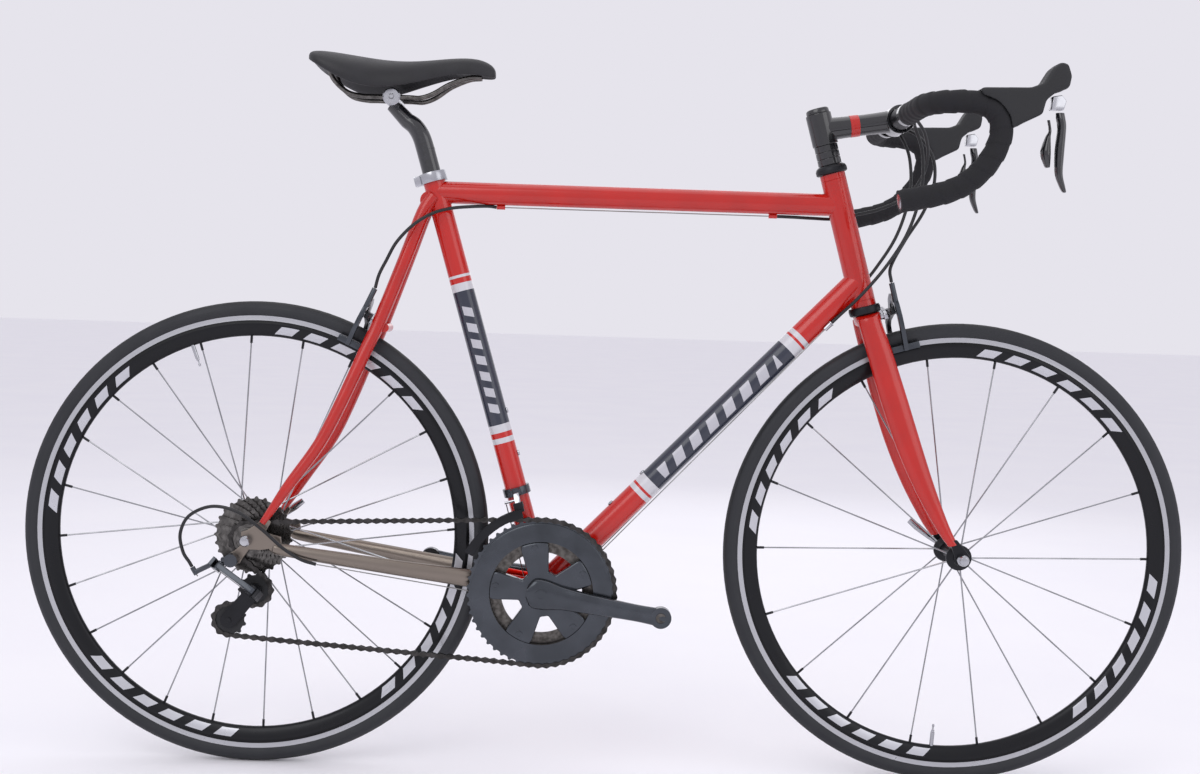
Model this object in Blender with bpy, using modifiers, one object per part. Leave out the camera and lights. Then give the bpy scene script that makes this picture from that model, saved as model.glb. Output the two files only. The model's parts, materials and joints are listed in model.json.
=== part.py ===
"""Road bicycle with rim brakes, built from its separate pieces.

Metres, +Z up, +X towards the front wheel, +Y to the rider's left. The origin lies on the ground,
midway between the two tyre contact points.
"""
import math

import bmesh
import bpy
from mathutils import Matrix, Vector

# ---- driving dimensions ----
WHEELBASE = 1.014
TYRE_RADIUS = 0.336
TYRE_WIDTH = 0.025
RIM_RADIUS = 0.317
RIM_WIDTH = 0.0192
RIM_DEPTH = 0.031
BB_DROP = 0.067
REAR_CENTRE = 0.4162  # horizontal, rear hub to bottom bracket
SEAT_ANGLE = math.radians(73.5)
HEAD_ANGLE = math.radians(74.2)
FORK_RAKE = 0.0425
SEAT_TUBE_LENGTH = 0.608
SEAT_TUBE_RADIUS = 0.0159
TOP_TUBE_HEIGHT = 0.8377
TOP_TUBE_RADIUS = 0.0159
DOWN_TUBE_RADIUS = 0.0180
HEAD_TUBE_RADIUS = 0.0183
HEAD_TUBE_BOTTOM = 0.3706  # along the steering axis, above hub height
HEAD_TUBE_TOP = 0.5660
DOWN_TUBE_JOIN = 0.4080
STEERER_RADIUS = 0.0143
SEATPOST_RADIUS = 0.0136
SEATPOST_SETBACK = 0.026
SADDLE_HEIGHT = 1.0285
SADDLE_NOSE = -0.1775
SADDLE_LENGTH = 0.265
STEM_LENGTH = 0.110
STEM_DROP = math.radians(7.0)
STEM_CENTRE = 0.631  # along the steering axis
BAR_RADIUS = 0.0116
BAR_CLAMP_RADIUS = 0.0159
BAR_HALF_WIDTH = 0.205
TAPE_RADIUS = 0.0156
CRANK_LENGTH = 0.1725
CRANK_ANGLE = math.radians(8.7)
PEDAL_FACE = 0.0735
FRONT_OLD = 0.100  # between the fork tips
REAR_OLD = 0.130
GAP = 0.0003
CHAIN_PITCH = 0.0127
RING_TEETH = 52
INNER_TEETH = 39
COG_TEETH = 12
PULLEY_TEETH = 11
RING_Y = -0.047
INNER_RING_Y = -0.0405
COG_Y = -0.0603
COG_STEP = 0.00395
CHAIN_WIDTH = 0.0058
CHAIN_HEIGHT = 0.0080

# ---- places worked out from them ----
REAR_HUB = Vector((-WHEELBASE / 2, 0, TYRE_RADIUS))
FRONT_HUB = Vector((WHEELBASE / 2, 0, TYRE_RADIUS))
BB = REAR_HUB + Vector((REAR_CENTRE, 0, -BB_DROP))
SEAT_DIR = Vector((-math.cos(SEAT_ANGLE), 0, math.sin(SEAT_ANGLE)))
HEAD_DIR = Vector((-math.cos(HEAD_ANGLE), 0, math.sin(HEAD_ANGLE)))
HEAD_FRONT = Vector((math.sin(HEAD_ANGLE), 0, math.cos(HEAD_ANGLE)))
HEAD_FOOT = FRONT_HUB - Vector((FORK_RAKE / math.sin(HEAD_ANGLE), 0, 0))
Y_AXIS = Vector((0, 1, 0))


def on_head(along, ahead=0.0, side=0.0):
    """A point by its height along the steering axis, its distance ahead of it and its side offset."""
    return HEAD_FOOT + HEAD_DIR * along + HEAD_FRONT * ahead + Y_AXIS * side


def on_seat(along, ahead=0.0, side=0.0):
    """A point by its distance from the bottom bracket along the seat tube."""
    ahead_dir = Vector((SEAT_DIR.z, 0, -SEAT_DIR.x))
    return BB + SEAT_DIR * along + ahead_dir * ahead + Y_AXIS * side


def pitch_radius(teeth):
    """Pitch radius of a toothed wheel on the chain."""
    return CHAIN_PITCH / (2 * math.sin(math.pi / teeth))


# ---- scene and helpers ----
for old in list(bpy.data.objects):
    bpy.data.objects.remove(old, do_unlink=True)
PARTS = bpy.data.collections.new("road_bicycle")
CUTTERS = bpy.data.collections.new("cutters")
bpy.context.scene.collection.children.link(PARTS)
bpy.context.scene.collection.children.link(CUTTERS)


def make_material(name, colour, roughness, metallic):
    """A Principled material in linear colour."""
    mat = bpy.data.materials.new(name)
    mat.use_nodes = True
    shader = mat.node_tree.nodes["Principled BSDF"]
    shader.inputs["Base Color"].default_value = (*colour, 1)
    shader.inputs["Roughness"].default_value = roughness
    shader.inputs["Metallic"].default_value = metallic
    return mat


RED = make_material("red_paint", (0.56, 0.018, 0.01), 0.25, 0.0)
TITANIUM = make_material("bare_titanium", (0.26, 0.21, 0.17), 0.3, 1.0)
BLACK = make_material("black_anodised", (0.012, 0.012, 0.014), 0.4, 0.3)
SILVER = make_material("polished_aluminium", (0.7, 0.7, 0.72), 0.25, 1.0)
GREY = make_material("grey_forged_aluminium", (0.04, 0.055, 0.07), 0.3, 0.8)
STEEL = make_material("dark_steel", (0.06, 0.055, 0.05), 0.4, 1.0)
RUBBER = make_material("black_rubber", (0.01, 0.01, 0.011), 0.7, 0.0)
TAPE = make_material("cork_tape", (0.008, 0.008, 0.009), 0.85, 0.0)
CARBON = make_material("clear_coated_carbon", (0.01, 0.01, 0.012), 0.2, 0.0)


def new_object(name, mesh, mat=None, collection=None):
    """Links a mesh as an object, in PARTS unless told otherwise."""
    obj = bpy.data.objects.new(name, mesh)
    (collection or CUTTERS).objects.link(obj)
    if mat:
        mesh.materials.clear()
        mesh.materials.append(mat)
    return obj


def from_bmesh(bm, name="shape"):
    """Turns a bmesh into a helper object with its faces pointing out."""
    bmesh.ops.recalc_face_normals(bm, faces=bm.faces)
    mesh = bpy.data.meshes.new(name)
    bm.to_mesh(mesh)
    bm.free()
    return new_object(name, mesh)


def from_curve(curve_object):
    """Replaces a curve object by the welded mesh that it makes."""
    graph = bpy.context.evaluated_depsgraph_get()
    mesh = bpy.data.meshes.new_from_object(curve_object.evaluated_get(graph))
    mesh.transform(curve_object.matrix_world)
    bpy.data.objects.remove(curve_object, do_unlink=True)
    bm = bmesh.new()
    bm.from_mesh(mesh)
    bmesh.ops.remove_doubles(bm, verts=bm.verts, dist=1e-6)
    return from_bmesh(bm)


def smooth_path(points, steps):
    """Points on a Catmull-Rom curve through the given points."""
    pts = [Vector(p) for p in points]
    ends = [pts[0] * 2 - pts[1]] + pts + [pts[-1] * 2 - pts[-2]]
    path = []
    for a, b, c, d in zip(ends, ends[1:], ends[2:], ends[3:]):
        for i in range(steps):
            t = i / steps
            path.append(0.5 * ((2 * b) + (c - a) * t + (2 * a - 5 * b + 4 * c - d) * t * t
                               + (3 * b - a - 3 * c + d) * t ** 3))
    return path + [pts[-1]]


def tube(points, radius, sides=8, radii=None, caps=True):
    """A round bar or pipe skin along points, as a helper mesh."""
    data = bpy.data.curves.new("tube", "CURVE")
    data.dimensions = "3D"
    data.bevel_depth = radius
    data.bevel_resolution = sides // 2 - 2
    data.use_fill_caps = caps
    spline = data.splines.new("POLY")
    spline.points.add(len(points) - 1)
    for i, point in enumerate(points):
        spline.points[i].co = (*point, 1)
        spline.points[i].radius = radii[i] / radius if radii else 1
    obj = bpy.data.objects.new("tube", data)
    CUTTERS.objects.link(obj)
    return from_curve(obj)


def frame_matrix(origin, x_dir, y_dir):
    """A matrix that places local X and Y along the given world directions."""
    x = Vector(x_dir).normalized()
    z = x.cross(Vector(y_dir)).normalized()
    y = z.cross(x)
    rotation = Matrix((x, y, z)).transposed().to_4x4()
    return Matrix.Translation(origin) @ rotation


def plate(outlines, thickness, matrix):
    """A flat outline (the first list) with holes (the others), centred on its plane."""
    data = bpy.data.curves.new("plate", "CURVE")
    data.dimensions = "2D"
    data.fill_mode = "BOTH"
    data.extrude = thickness / 2
    for outline in outlines:
        spline = data.splines.new("POLY")
        spline.points.add(len(outline) - 1)
        spline.use_cyclic_u = True
        for i, (u, v) in enumerate(outline):
            spline.points[i].co = (u, v, 0, 1)
    obj = bpy.data.objects.new("plate", data)
    CUTTERS.objects.link(obj)
    bpy.context.view_layer.update()
    shape = from_curve(obj)
    shape.data.transform(matrix)
    return shape


def arc(radius, start, stop, count, centre=(0, 0)):
    """Points on an arc, in degrees, both ends included."""
    return [(centre[0] + radius * math.cos(math.radians(start + (stop - start) * i / count)),
             centre[1] + radius * math.sin(math.radians(start + (stop - start) * i / count)))
            for i in range(count + 1)]


def circle(radius, count, centre=(0, 0)):
    """Points round a whole circle."""
    return arc(radius, 0, 360, count, centre)[:-1]


def rod(start, end, radius, sides=12, radius_end=None):
    """A cylinder or cone between two points."""
    start, end = Vector(start), Vector(end)
    bm = bmesh.new()
    bmesh.ops.create_cone(bm, cap_ends=True, segments=sides, radius1=radius,
                          radius2=radius if radius_end is None else radius_end, depth=(end - start).length)
    turn = (end - start).to_track_quat("Z", "Y").to_matrix().to_4x4()
    bmesh.ops.transform(bm, verts=bm.verts, matrix=Matrix.Translation((start + end) / 2) @ turn)
    return from_bmesh(bm)


def box(centre, size, matrix=None):
    """A block, in world axes or in those of a matrix."""
    bm = bmesh.new()
    bmesh.ops.create_cube(bm, size=1)
    bmesh.ops.scale(bm, verts=bm.verts, vec=size)
    bmesh.ops.translate(bm, verts=bm.verts, vec=centre)
    if matrix:
        bmesh.ops.transform(bm, verts=bm.verts, matrix=matrix)
    return from_bmesh(bm)


def turned(profile, origin, axis, steps=24):
    """A turned solid: (radius, height) pairs from the top down, about an axis through origin."""
    mesh = bpy.data.meshes.new("turned")
    closed = profile[0][0] > 0 or profile[-1][0] > 0
    count = len(profile)
    edges = [(i, (i + 1) % count) for i in range(count if closed else count - 1)]
    mesh.from_pydata([(r, 0, h) for r, h in profile], edges, [])
    obj = new_object("turned", mesh)
    screw = obj.modifiers.new("turn", "SCREW")
    screw.steps = steps
    screw.render_steps = steps
    screw.merge_threshold = 1e-5
    screw.use_merge_vertices = not closed
    graph = bpy.context.evaluated_depsgraph_get()
    made = bpy.data.meshes.new_from_object(obj.evaluated_get(graph))
    bpy.data.objects.remove(obj, do_unlink=True)
    bm = bmesh.new()
    bm.from_mesh(made)
    bmesh.ops.remove_doubles(bm, verts=bm.verts, dist=1e-6)
    side = Vector(axis).cross(Vector((0.3, 0.1, 1)) if abs(axis[2]) < 0.9 else Vector((0, 1, 0)))
    if abs(axis[1]) > 0.99:
        side = Vector((1, 0, 0))
    bmesh.ops.transform(bm, verts=bm.verts, matrix=frame_matrix(origin, side, Vector(axis).cross(side)))
    return from_bmesh(bm)


def loft(stations, sides=12, power=1.0):
    """A closed skin through oval rings: each station is (centre, half-axis u, half-axis v)."""
    bm = bmesh.new()
    rings = []
    for centre, u, v in stations:
        ring = []
        for i in range(sides):
            angle = 2 * math.pi * (i + 0.5) / sides
            c = math.copysign(abs(math.cos(angle)) ** power, math.cos(angle))
            s = math.copysign(abs(math.sin(angle)) ** power, math.sin(angle))
            ring.append(bm.verts.new(Vector(centre) + Vector(u) * c + Vector(v) * s))
        rings.append(ring)
    for first, second in zip(rings, rings[1:]):
        for i in range(sides):
            j = (i + 1) % sides
            bm.faces.new((first[i], first[j], second[j], second[i]))
    bm.faces.new(rings[0][::-1])
    bm.faces.new(rings[-1])
    return from_bmesh(bm)


def boolean(base, others, operation):
    """Joins the others to base, or cuts them from it, and returns the finished mesh."""
    for other in others:
        modifier = base.modifiers.new(operation.lower(), "BOOLEAN")
        modifier.operation = operation
        modifier.object = other
        modifier.solver = "EXACT"
    graph = bpy.context.evaluated_depsgraph_get()
    mesh = bpy.data.meshes.new_from_object(base.evaluated_get(graph))
    for used in (base, *others):
        bpy.data.objects.remove(used, do_unlink=True)
    return new_object("shape", mesh)


def union(*shapes):
    """One body from several that overlap."""
    return boolean(shapes[0], shapes[1:], "UNION")


def cut(base, *cutters):
    """The base less the cutters."""
    return boolean(base, cutters, "DIFFERENCE")


def combine(shapes):
    """Several separate shapes in one helper object, for one Boolean."""
    bm = bmesh.new()
    for shape in shapes:
        bm.from_mesh(shape.data)
        bpy.data.objects.remove(shape, do_unlink=True)
    mesh = bpy.data.meshes.new("combined")
    bm.to_mesh(mesh)
    bm.free()
    return new_object("combined", mesh)


def finish(shape, name, mat, pivot=None):
    """Names a finished shape, gives it its material and sets its origin on its joint's axis."""
    CUTTERS.objects.unlink(shape)
    PARTS.objects.link(shape)
    shape.name = name
    shape.data.name = name
    shape.data.materials.clear()
    shape.data.materials.append(mat)
    if pivot is not None:
        shape.data.transform(Matrix.Translation(-Vector(pivot)))
        shape.location = pivot
    shape.data.shade_smooth()
    shape.data.set_sharp_from_angle(angle=math.radians(35))
    return shape


def mirrored(shape):
    """A copy on the other side of the bicycle's middle plane."""
    mesh = shape.data.copy()
    mesh.transform(Matrix.Diagonal((1, -1, 1, 1)))
    mesh.flip_normals()
    return new_object("mirrored", mesh)


# ---- frame ----
TOP_AT_SEAT = on_seat((TOP_TUBE_HEIGHT - BB.z) / SEAT_DIR.z)
TOP_AT_HEAD = on_head((TOP_TUBE_HEIGHT - TYRE_RADIUS) / HEAD_DIR.z)
DOWN_AT_HEAD = on_head(DOWN_TUBE_JOIN)
DOWN_DIR = (DOWN_AT_HEAD - BB).normalized()
DOWN_UP = Vector((-DOWN_DIR.z, 0, DOWN_DIR.x))
BB_SHELL_RADIUS = 0.020
BB_HALF_WIDTH = 0.034
AXLE_RADIUS = 0.012
BRIDGE = Vector((-0.3270, 0, 0.6400))
HANGER = Vector((-0.5254, -0.0690, 0.3088))
DROPOUT = 0.0050
BOSS_RADIUS = 0.0055
SEAT_BORE_DEPTH = 0.250


def boss(centre, direction, reach):
    """A bottle-cage boss standing on a tube."""
    return rod(centre + direction * (reach - 0.004), centre + direction * (reach + 0.0022), BOSS_RADIUS, 12)


def tube_cutter(start, end, radius):
    """A tube's own volume with clearance, to shape the tubes that meet it."""
    return rod(start, end, radius + GAP * 1.5, 24)


def make_main_tubes():
    """Head, top, seat and down tubes and the bottom bracket shell."""
    head = rod(on_head(HEAD_TUBE_BOTTOM), on_head(HEAD_TUBE_TOP), HEAD_TUBE_RADIUS, 20)
    head = cut(head, rod(on_head(HEAD_TUBE_BOTTOM - 0.01), on_head(HEAD_TUBE_TOP + 0.01), STEERER_RADIUS + 0.001, 16))
    finish(head, "head_tube", RED)
    shell = turned([(BB_SHELL_RADIUS, BB_HALF_WIDTH), (0.021, BB_HALF_WIDTH), (0.021, 0.0414),
                    (AXLE_RADIUS + GAP, 0.0414), (AXLE_RADIUS + GAP, -0.0414), (0.021, -0.0414),
                    (0.021, -BB_HALF_WIDTH), (BB_SHELL_RADIUS, -BB_HALF_WIDTH)], BB, Y_AXIS, 24)
    finish(shell, "bottom_bracket_shell", RED)
    seat = rod(on_seat(0), on_seat(SEAT_TUBE_LENGTH), SEAT_TUBE_RADIUS, 20)
    for along in (0.135 + 0.064, 0.135 + 0.128):
        seat = union(seat, boss(on_seat(along), Vector((SEAT_DIR.z, 0, -SEAT_DIR.x)), SEAT_TUBE_RADIUS))
    bore = rod(on_seat(SEAT_TUBE_LENGTH - SEAT_BORE_DEPTH), on_seat(SEAT_TUBE_LENGTH + 0.01),
               SEATPOST_RADIUS + 0.0004, 16)
    seat = cut(seat, bore, rod(BB - Y_AXIS * 0.1, BB + Y_AXIS * 0.1, BB_SHELL_RADIUS + GAP * 1.5, 24))
    finish(seat, "seat_tube", RED)
    top = rod(TOP_AT_SEAT, TOP_AT_HEAD, TOP_TUBE_RADIUS, 20)
    for x in (-0.1663, 0.225):
        stop = box((x, 0, TOP_TUBE_HEIGHT - TOP_TUBE_RADIUS - 0.002), (0.012, 0.007, 0.008))
        top = union(top, stop)
    slots = [rod((-0.1600, 0, CABLE_Z), (-0.1730, 0, CABLE_Z), 0.0012, 8),
             rod((0.2180, 0, CABLE_Z), (0.2320, 0, CABLE_Z), 0.0012, 8)]
    top = cut(top, tube_cutter(on_seat(0.4), on_seat(0.7), SEAT_TUBE_RADIUS),
              tube_cutter(on_head(0.35), on_head(0.6), HEAD_TUBE_RADIUS), *slots)
    finish(top, "top_tube", RED)
    down = rod(BB, DOWN_AT_HEAD, DOWN_TUBE_RADIUS, 20)
    for along in (0.157, 0.221):
        down = union(down, boss(BB + DOWN_DIR * along, DOWN_UP, DOWN_TUBE_RADIUS))
    for side in (-1, 1):
        where = BB + DOWN_DIR * DOWN_STOP - DOWN_UP * 0.0130 + Y_AXIS * (0.0135 * side)
        axes = frame_matrix(where, DOWN_DIR, Y_AXIS)
        down = union(down, box((0, 0, 0), (0.014, 0.0085, 0.0110), axes))
    guides = [rod(down_stop(side) + DOWN_DIR * 0.02, down_stop(side) - DOWN_DIR * 0.02, 0.0013, 8)
              for side in (-1, 1)]
    down = cut(down, tube_cutter(on_head(0.35), on_head(0.6), HEAD_TUBE_RADIUS),
               rod(BB - Y_AXIS * 0.1, BB + Y_AXIS * 0.1, BB_SHELL_RADIUS + GAP * 1.5, 24),
               tube_cutter(on_seat(0), on_seat(0.2), SEAT_TUBE_RADIUS), *guides)
    finish(down, "down_tube", RED)


CABLE_Z = TOP_TUBE_HEIGHT - TOP_TUBE_RADIUS - 0.0030
DOWN_STOP = 0.560


def down_stop(side):
    """Where a shift cable passes its stop under the down tube."""
    return BB + DOWN_DIR * DOWN_STOP - DOWN_UP * 0.0155 + Y_AXIS * (0.0150 * side)


def dropout(side, hanger):
    """A rear dropout plate with its open axle slot, and the derailleur hanger on the drive side."""
    outline = [(0.000, 0.014), (0.012, 0.022), (0.026, 0.034), (0.034, 0.026), (0.026, 0.012),
               (0.048, 0.006), (0.050, -0.008), (0.020, -0.0135), (0.004, -0.013)]
    if hanger:
        hx, hz = HANGER.x - REAR_HUB.x, HANGER.z - REAR_HUB.z
        outline += [(hx + 0.009, hz - 0.006)] + arc(0.0095, -40, -220, 6, (hx, hz))
        outline += [(hx + 0.002, hz + 0.012)]
    else:
        outline += [(-0.004, -0.010)]
    outline += [(-0.0052, -0.0053)] + arc(0.0053, -90, 90, 6) + [(-0.0075, 0.0053), (-0.0075, 0.012)]
    y = side * (REAR_OLD / 2 + DROPOUT / 2 + GAP)
    centre = Vector((REAR_HUB.x, y, REAR_HUB.z))
    shape = plate([outline], DROPOUT, frame_matrix(centre, (1, 0, 0), (0, 0, 1)))
    if hanger:
        shape = cut(shape, rod(Vector((HANGER.x, y - 0.01, HANGER.z)), Vector((HANGER.x, y + 0.01, HANGER.z)),
                               0.0053, 10))
    return shape


SEAT_STAY_POINTS = [(-0.2620, 0.0100, 0.8300), (-0.2763, 0.0125, 0.8061), (-0.3000, 0.0165, 0.7400),
                    (-0.3345, 0.0250, 0.6469), (-0.3528, 0.0330, 0.6036), (-0.3825, 0.0450, 0.5319),
                    (-0.4104, 0.0540, 0.4736), (-0.4493, 0.0640, 0.4159), (-0.4715, 0.0672, 0.3815),
                    (-0.4830, 0.0690, 0.3640)]
SEAT_STAY_RADII = [0.0100, 0.0100, 0.0098, 0.0096, 0.0094, 0.0090, 0.0085, 0.0078, 0.0060, 0.0048]


def make_stays():
    """Seat stays with their bridge, chain stays with the dropouts."""
    stay = tube([Vector(p) for p in SEAT_STAY_POINTS], 0.01, 10, SEAT_STAY_RADII)
    other = mirrored(stay)
    bridge = rod(BRIDGE - Y_AXIS * 0.024, BRIDGE + Y_AXIS * 0.024, 0.0068, 10)
    nut = rod(BRIDGE + REAR_BRAKE.col[2].xyz * 0.0040, BRIDGE + REAR_BRAKE.col[2].xyz * 0.0095, 0.0060, 8)
    cluster = rod((-0.2680, -0.0130, 0.8235), (-0.2680, 0.0130, 0.8235), 0.0135, 12)
    stays = union(stay, other, bridge, cluster, nut, *brake_mount(REAR_BRAKE, -1, REAR_BRAKE_REACH_BACK))
    seat_cutter = tube_cutter(on_seat(0.4), on_seat(0.7), SEAT_TUBE_RADIUS)
    top_cutter = tube_cutter(TOP_AT_SEAT, TOP_AT_SEAT + Vector((0.05, 0, 0)), TOP_TUBE_RADIUS)
    slots = [box((-0.4830, side * 0.06538, 0.3540), (0.08, 0.01074, 0.0350)) for side in (-1, 1)]
    stays = cut(stays, seat_cutter, top_cutter, *slots)
    finish(stays, "seat_stays", RED)
    halves = []
    for side in (-1, 1):
        rows = [(0.016, 0.0190, 0.0138, 0.0085), (0.085, 0.0270, 0.0138, 0.0080), (0.110, 0.0330, 0.0130, 0.0080),
                (0.200, 0.0480, 0.0112, 0.0085), (0.300, 0.0590, 0.0098, 0.0080), (0.372, 0.0660, 0.0085, 0.0065)]
        line = (REAR_HUB + Vector((0.0, 0, -0.0055)) - BB)
        line.y = 0
        direction = line.normalized()
        across = Vector((direction.z, 0, -direction.x))
        halves.append(loft([(BB + direction * d + Y_AXIS * side * y, across * h, Y_AXIS * w)
                            for d, y, h, w in rows], 12))
        halves.append(dropout(side, side < 0))
    bridge_at = BB + Vector((-0.060, 0, 0.0095))
    halves.append(rod(bridge_at - Y_AXIS * 0.024, bridge_at + Y_AXIS * 0.024, 0.0060, 10))
    wire = (SHIFT_STOP - UNDER_BB).normalized()
    halves.append(rod(SHIFT_STOP - wire * 0.012, SHIFT_STOP, 0.0034, 8))
    halves.append(rod(SHIFT_STOP - wire * 0.006 + Vector((0, 0.0075, 0.0075)), SHIFT_STOP - wire * 0.006, 0.0028, 8))
    stays = union(*halves)
    stays = cut(stays, rod(BB - Y_AXIS * 0.1, BB + Y_AXIS * 0.1, 0.021 + GAP * 1.5, 24),
                tube_cutter(on_seat(0), on_seat(0.2), SEAT_TUBE_RADIUS),
                rod(SHIFT_STOP - wire * 0.020, SHIFT_STOP + wire * 0.010, 0.0013, 8))
    finish(stays, "chain_stays", TITANIUM)


SHIFT_STOP = Vector((-0.4080, -0.0690, 0.3045))
UNDER_BB = BB + Vector((-0.0041, -0.0150, -0.0224))  # where the rear shift wire leaves the shell
COLLAR_LOW, COLLAR_HIGH = -0.0020, 0.0120


def make_seat():
    """Collar, seatpost with its rail clamp, saddle and rails."""
    low, high = on_seat(SEAT_TUBE_LENGTH + COLLAR_LOW), on_seat(SEAT_TUBE_LENGTH + COLLAR_HIGH)
    collar = rod(low, high, 0.0200, 24)
    middle = (low + high) / 2
    axes = frame_matrix(middle, SEAT_DIR.cross(Y_AXIS), Y_AXIS)
    collar = union(collar, box((0.0205, 0, 0), (0.013, 0.016, 0.0135), axes))
    collar = cut(collar, rod(low, high + SEAT_DIR * 0.01, SEATPOST_RADIUS + GAP * 1.5, 20),
                 rod(low - SEAT_DIR * 0.01, on_seat(SEAT_TUBE_LENGTH + GAP), SEAT_TUBE_RADIUS + GAP * 1.5, 24),
                 box((0.0225, 0, 0), (0.019, 0.0016, 0.030), axes))
    finish(collar, "seatpost_collar", SILVER)
    head = RAIL_CENTRE
    path = [on_seat(SEAT_TUBE_LENGTH - 0.115), on_seat(SEAT_TUBE_LENGTH + 0.045),
            on_seat(SEAT_TUBE_LENGTH + 0.066, -0.0010), on_seat(SEAT_TUBE_LENGTH + 0.082, -0.006),
            on_seat(SEAT_TUBE_LENGTH + 0.092, -0.014), head - Vector((0.002, 0, 0.010))]
    post = tube(path, SEATPOST_RADIUS, 16, [0.0136, 0.0136, 0.0134, 0.0128, 0.0118, 0.0100])
    cradle = rod(head - Y_AXIS * 0.031, head + Y_AXIS * 0.031, 0.0125, 16)
    post = union(post, cradle)
    post = cut(post, *[rod(Vector((-0.5, s * RAIL_HALF_GAP, RAIL_CENTRE.z)), Vector((-0.1, s * RAIL_HALF_GAP, RAIL_CENTRE.z)),
                           0.0035 + GAP, 10) for s in (-1, 1)])
    finish(post, "seatpost", CARBON, on_seat(SEAT_TUBE_LENGTH))
    finish(make_saddle(), "saddle", RUBBER)
    rails = []
    for s in (-1, 1):
        level, gap = RAIL_CENTRE.z, RAIL_HALF_GAP * s
        points = smooth_path([(-0.1990, 0.006 * s, 1.0005), (-0.2170, 0.009 * s, 0.9985),
                              (-0.2430, 0.014 * s, 0.9880), (-0.2650, 0.0195 * s, 0.9735),
                              (-0.2830, gap, level), (-0.3000, gap, level), (-0.3500, gap, level), (-0.3640, gap, level),
                              (-0.3860, 0.024 * s, 0.9710), (-0.4040, 0.028 * s, 0.9860), (-0.4110, 0.030 * s, 1.0000)], 2)
        rails.append(tube(points, 0.0035, 8))
    rails.append(rod((-0.1985, -0.010, 1.0003), (-0.1985, 0.010, 1.0003), 0.0040, 8))
    rails.append(rod((-0.4110, -0.032, 0.9985), (-0.4110, 0.032, 0.9985), 0.0045, 8))
    finish(union(rails[0], rails[2], rails[3], rails[1]), "saddle_rails", BLACK)


RAIL_CENTRE = Vector((-0.3235, 0, 0.9665))
RAIL_HALF_GAP = 0.022
SADDLE_SECTIONS = [  # from the nose: share of length, half-width, top, skirt bottom, underside
    (0.000, 0.0060, -0.0190, -0.0270, -0.0260), (0.020, 0.0120, -0.0105, -0.0290, -0.0235),
    (0.080, 0.0180, -0.0020, -0.0280, -0.0200), (0.180, 0.0200, 0.0000, -0.0250, -0.0190),
    (0.320, 0.0240, -0.0045, -0.0340, -0.0190), (0.460, 0.0340, -0.0090, -0.0460, -0.0200),
    (0.600, 0.0540, -0.0085, -0.0560, -0.0210), (0.740, 0.0670, -0.0040, -0.0540, -0.0200),
    (0.870, 0.0690, 0.0000, -0.0370, -0.0190), (0.960, 0.0600, 0.0010, -0.0220, -0.0160),
    (1.000, 0.0380, -0.0030, -0.0140, -0.0130)]


def make_saddle():
    """The padded top with its skirts, as one arched shell."""
    bm = bmesh.new()
    rings = []
    for share, half, top, skirt, under in SADDLE_SECTIONS:
        x = SADDLE_NOSE - SADDLE_LENGTH * share
        top, skirt, under = SADDLE_HEIGHT + top, SADDLE_HEIGHT + skirt, SADDLE_HEIGHT + under
        drop = (top - skirt)
        side = [(0.00, top), (0.45, top - 0.06 * drop), (0.80, top - 0.26 * drop), (1.00, top - 0.62 * drop),
                (0.98, skirt), (0.86, skirt + 0.06 * drop), (0.60, under - 0.1 * drop), (0.0, under)]
        points = side + [(-u, z) for u, z in side[-2:0:-1]]
        rings.append([bm.verts.new((x, half * u, z)) for u, z in points])
    for first, second in zip(rings, rings[1:]):
        for i in range(len(first)):
            j = (i + 1) % len(first)
            bm.faces.new((first[i], first[j], second[j], second[i]))
    bm.faces.new(rings[0])
    bm.faces.new(rings[-1])
    return from_bmesh(bm)


# ---- headset, fork, stem and bar ----
BAR_CENTRE = on_head(STEM_CENTRE - STEM_LENGTH * math.sin(STEM_DROP), STEM_LENGTH * math.cos(STEM_DROP))
FORK_STATIONS = [  # blade centre in side view, half-depth, half-thickness, side offset
    ((0.3665, 0.6765), 0.0165, 0.0110, 0.0200), ((0.3690, 0.6655), 0.0165, 0.0112, 0.0218), ((0.3830, 0.6252), 0.0180, 0.0105, 0.0262),
    ((0.4040, 0.5620), 0.0190, 0.0098, 0.0322), ((0.4265, 0.4980), 0.0178, 0.0092, 0.0382),
    ((0.4520, 0.4350), 0.0142, 0.0082, 0.0440), ((0.4790, 0.3800), 0.0095, 0.0070, 0.0490),
    ((0.4940, 0.3560), 0.0070, 0.0060, 0.0515)]
CROWN_LOW = 0.3435


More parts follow.
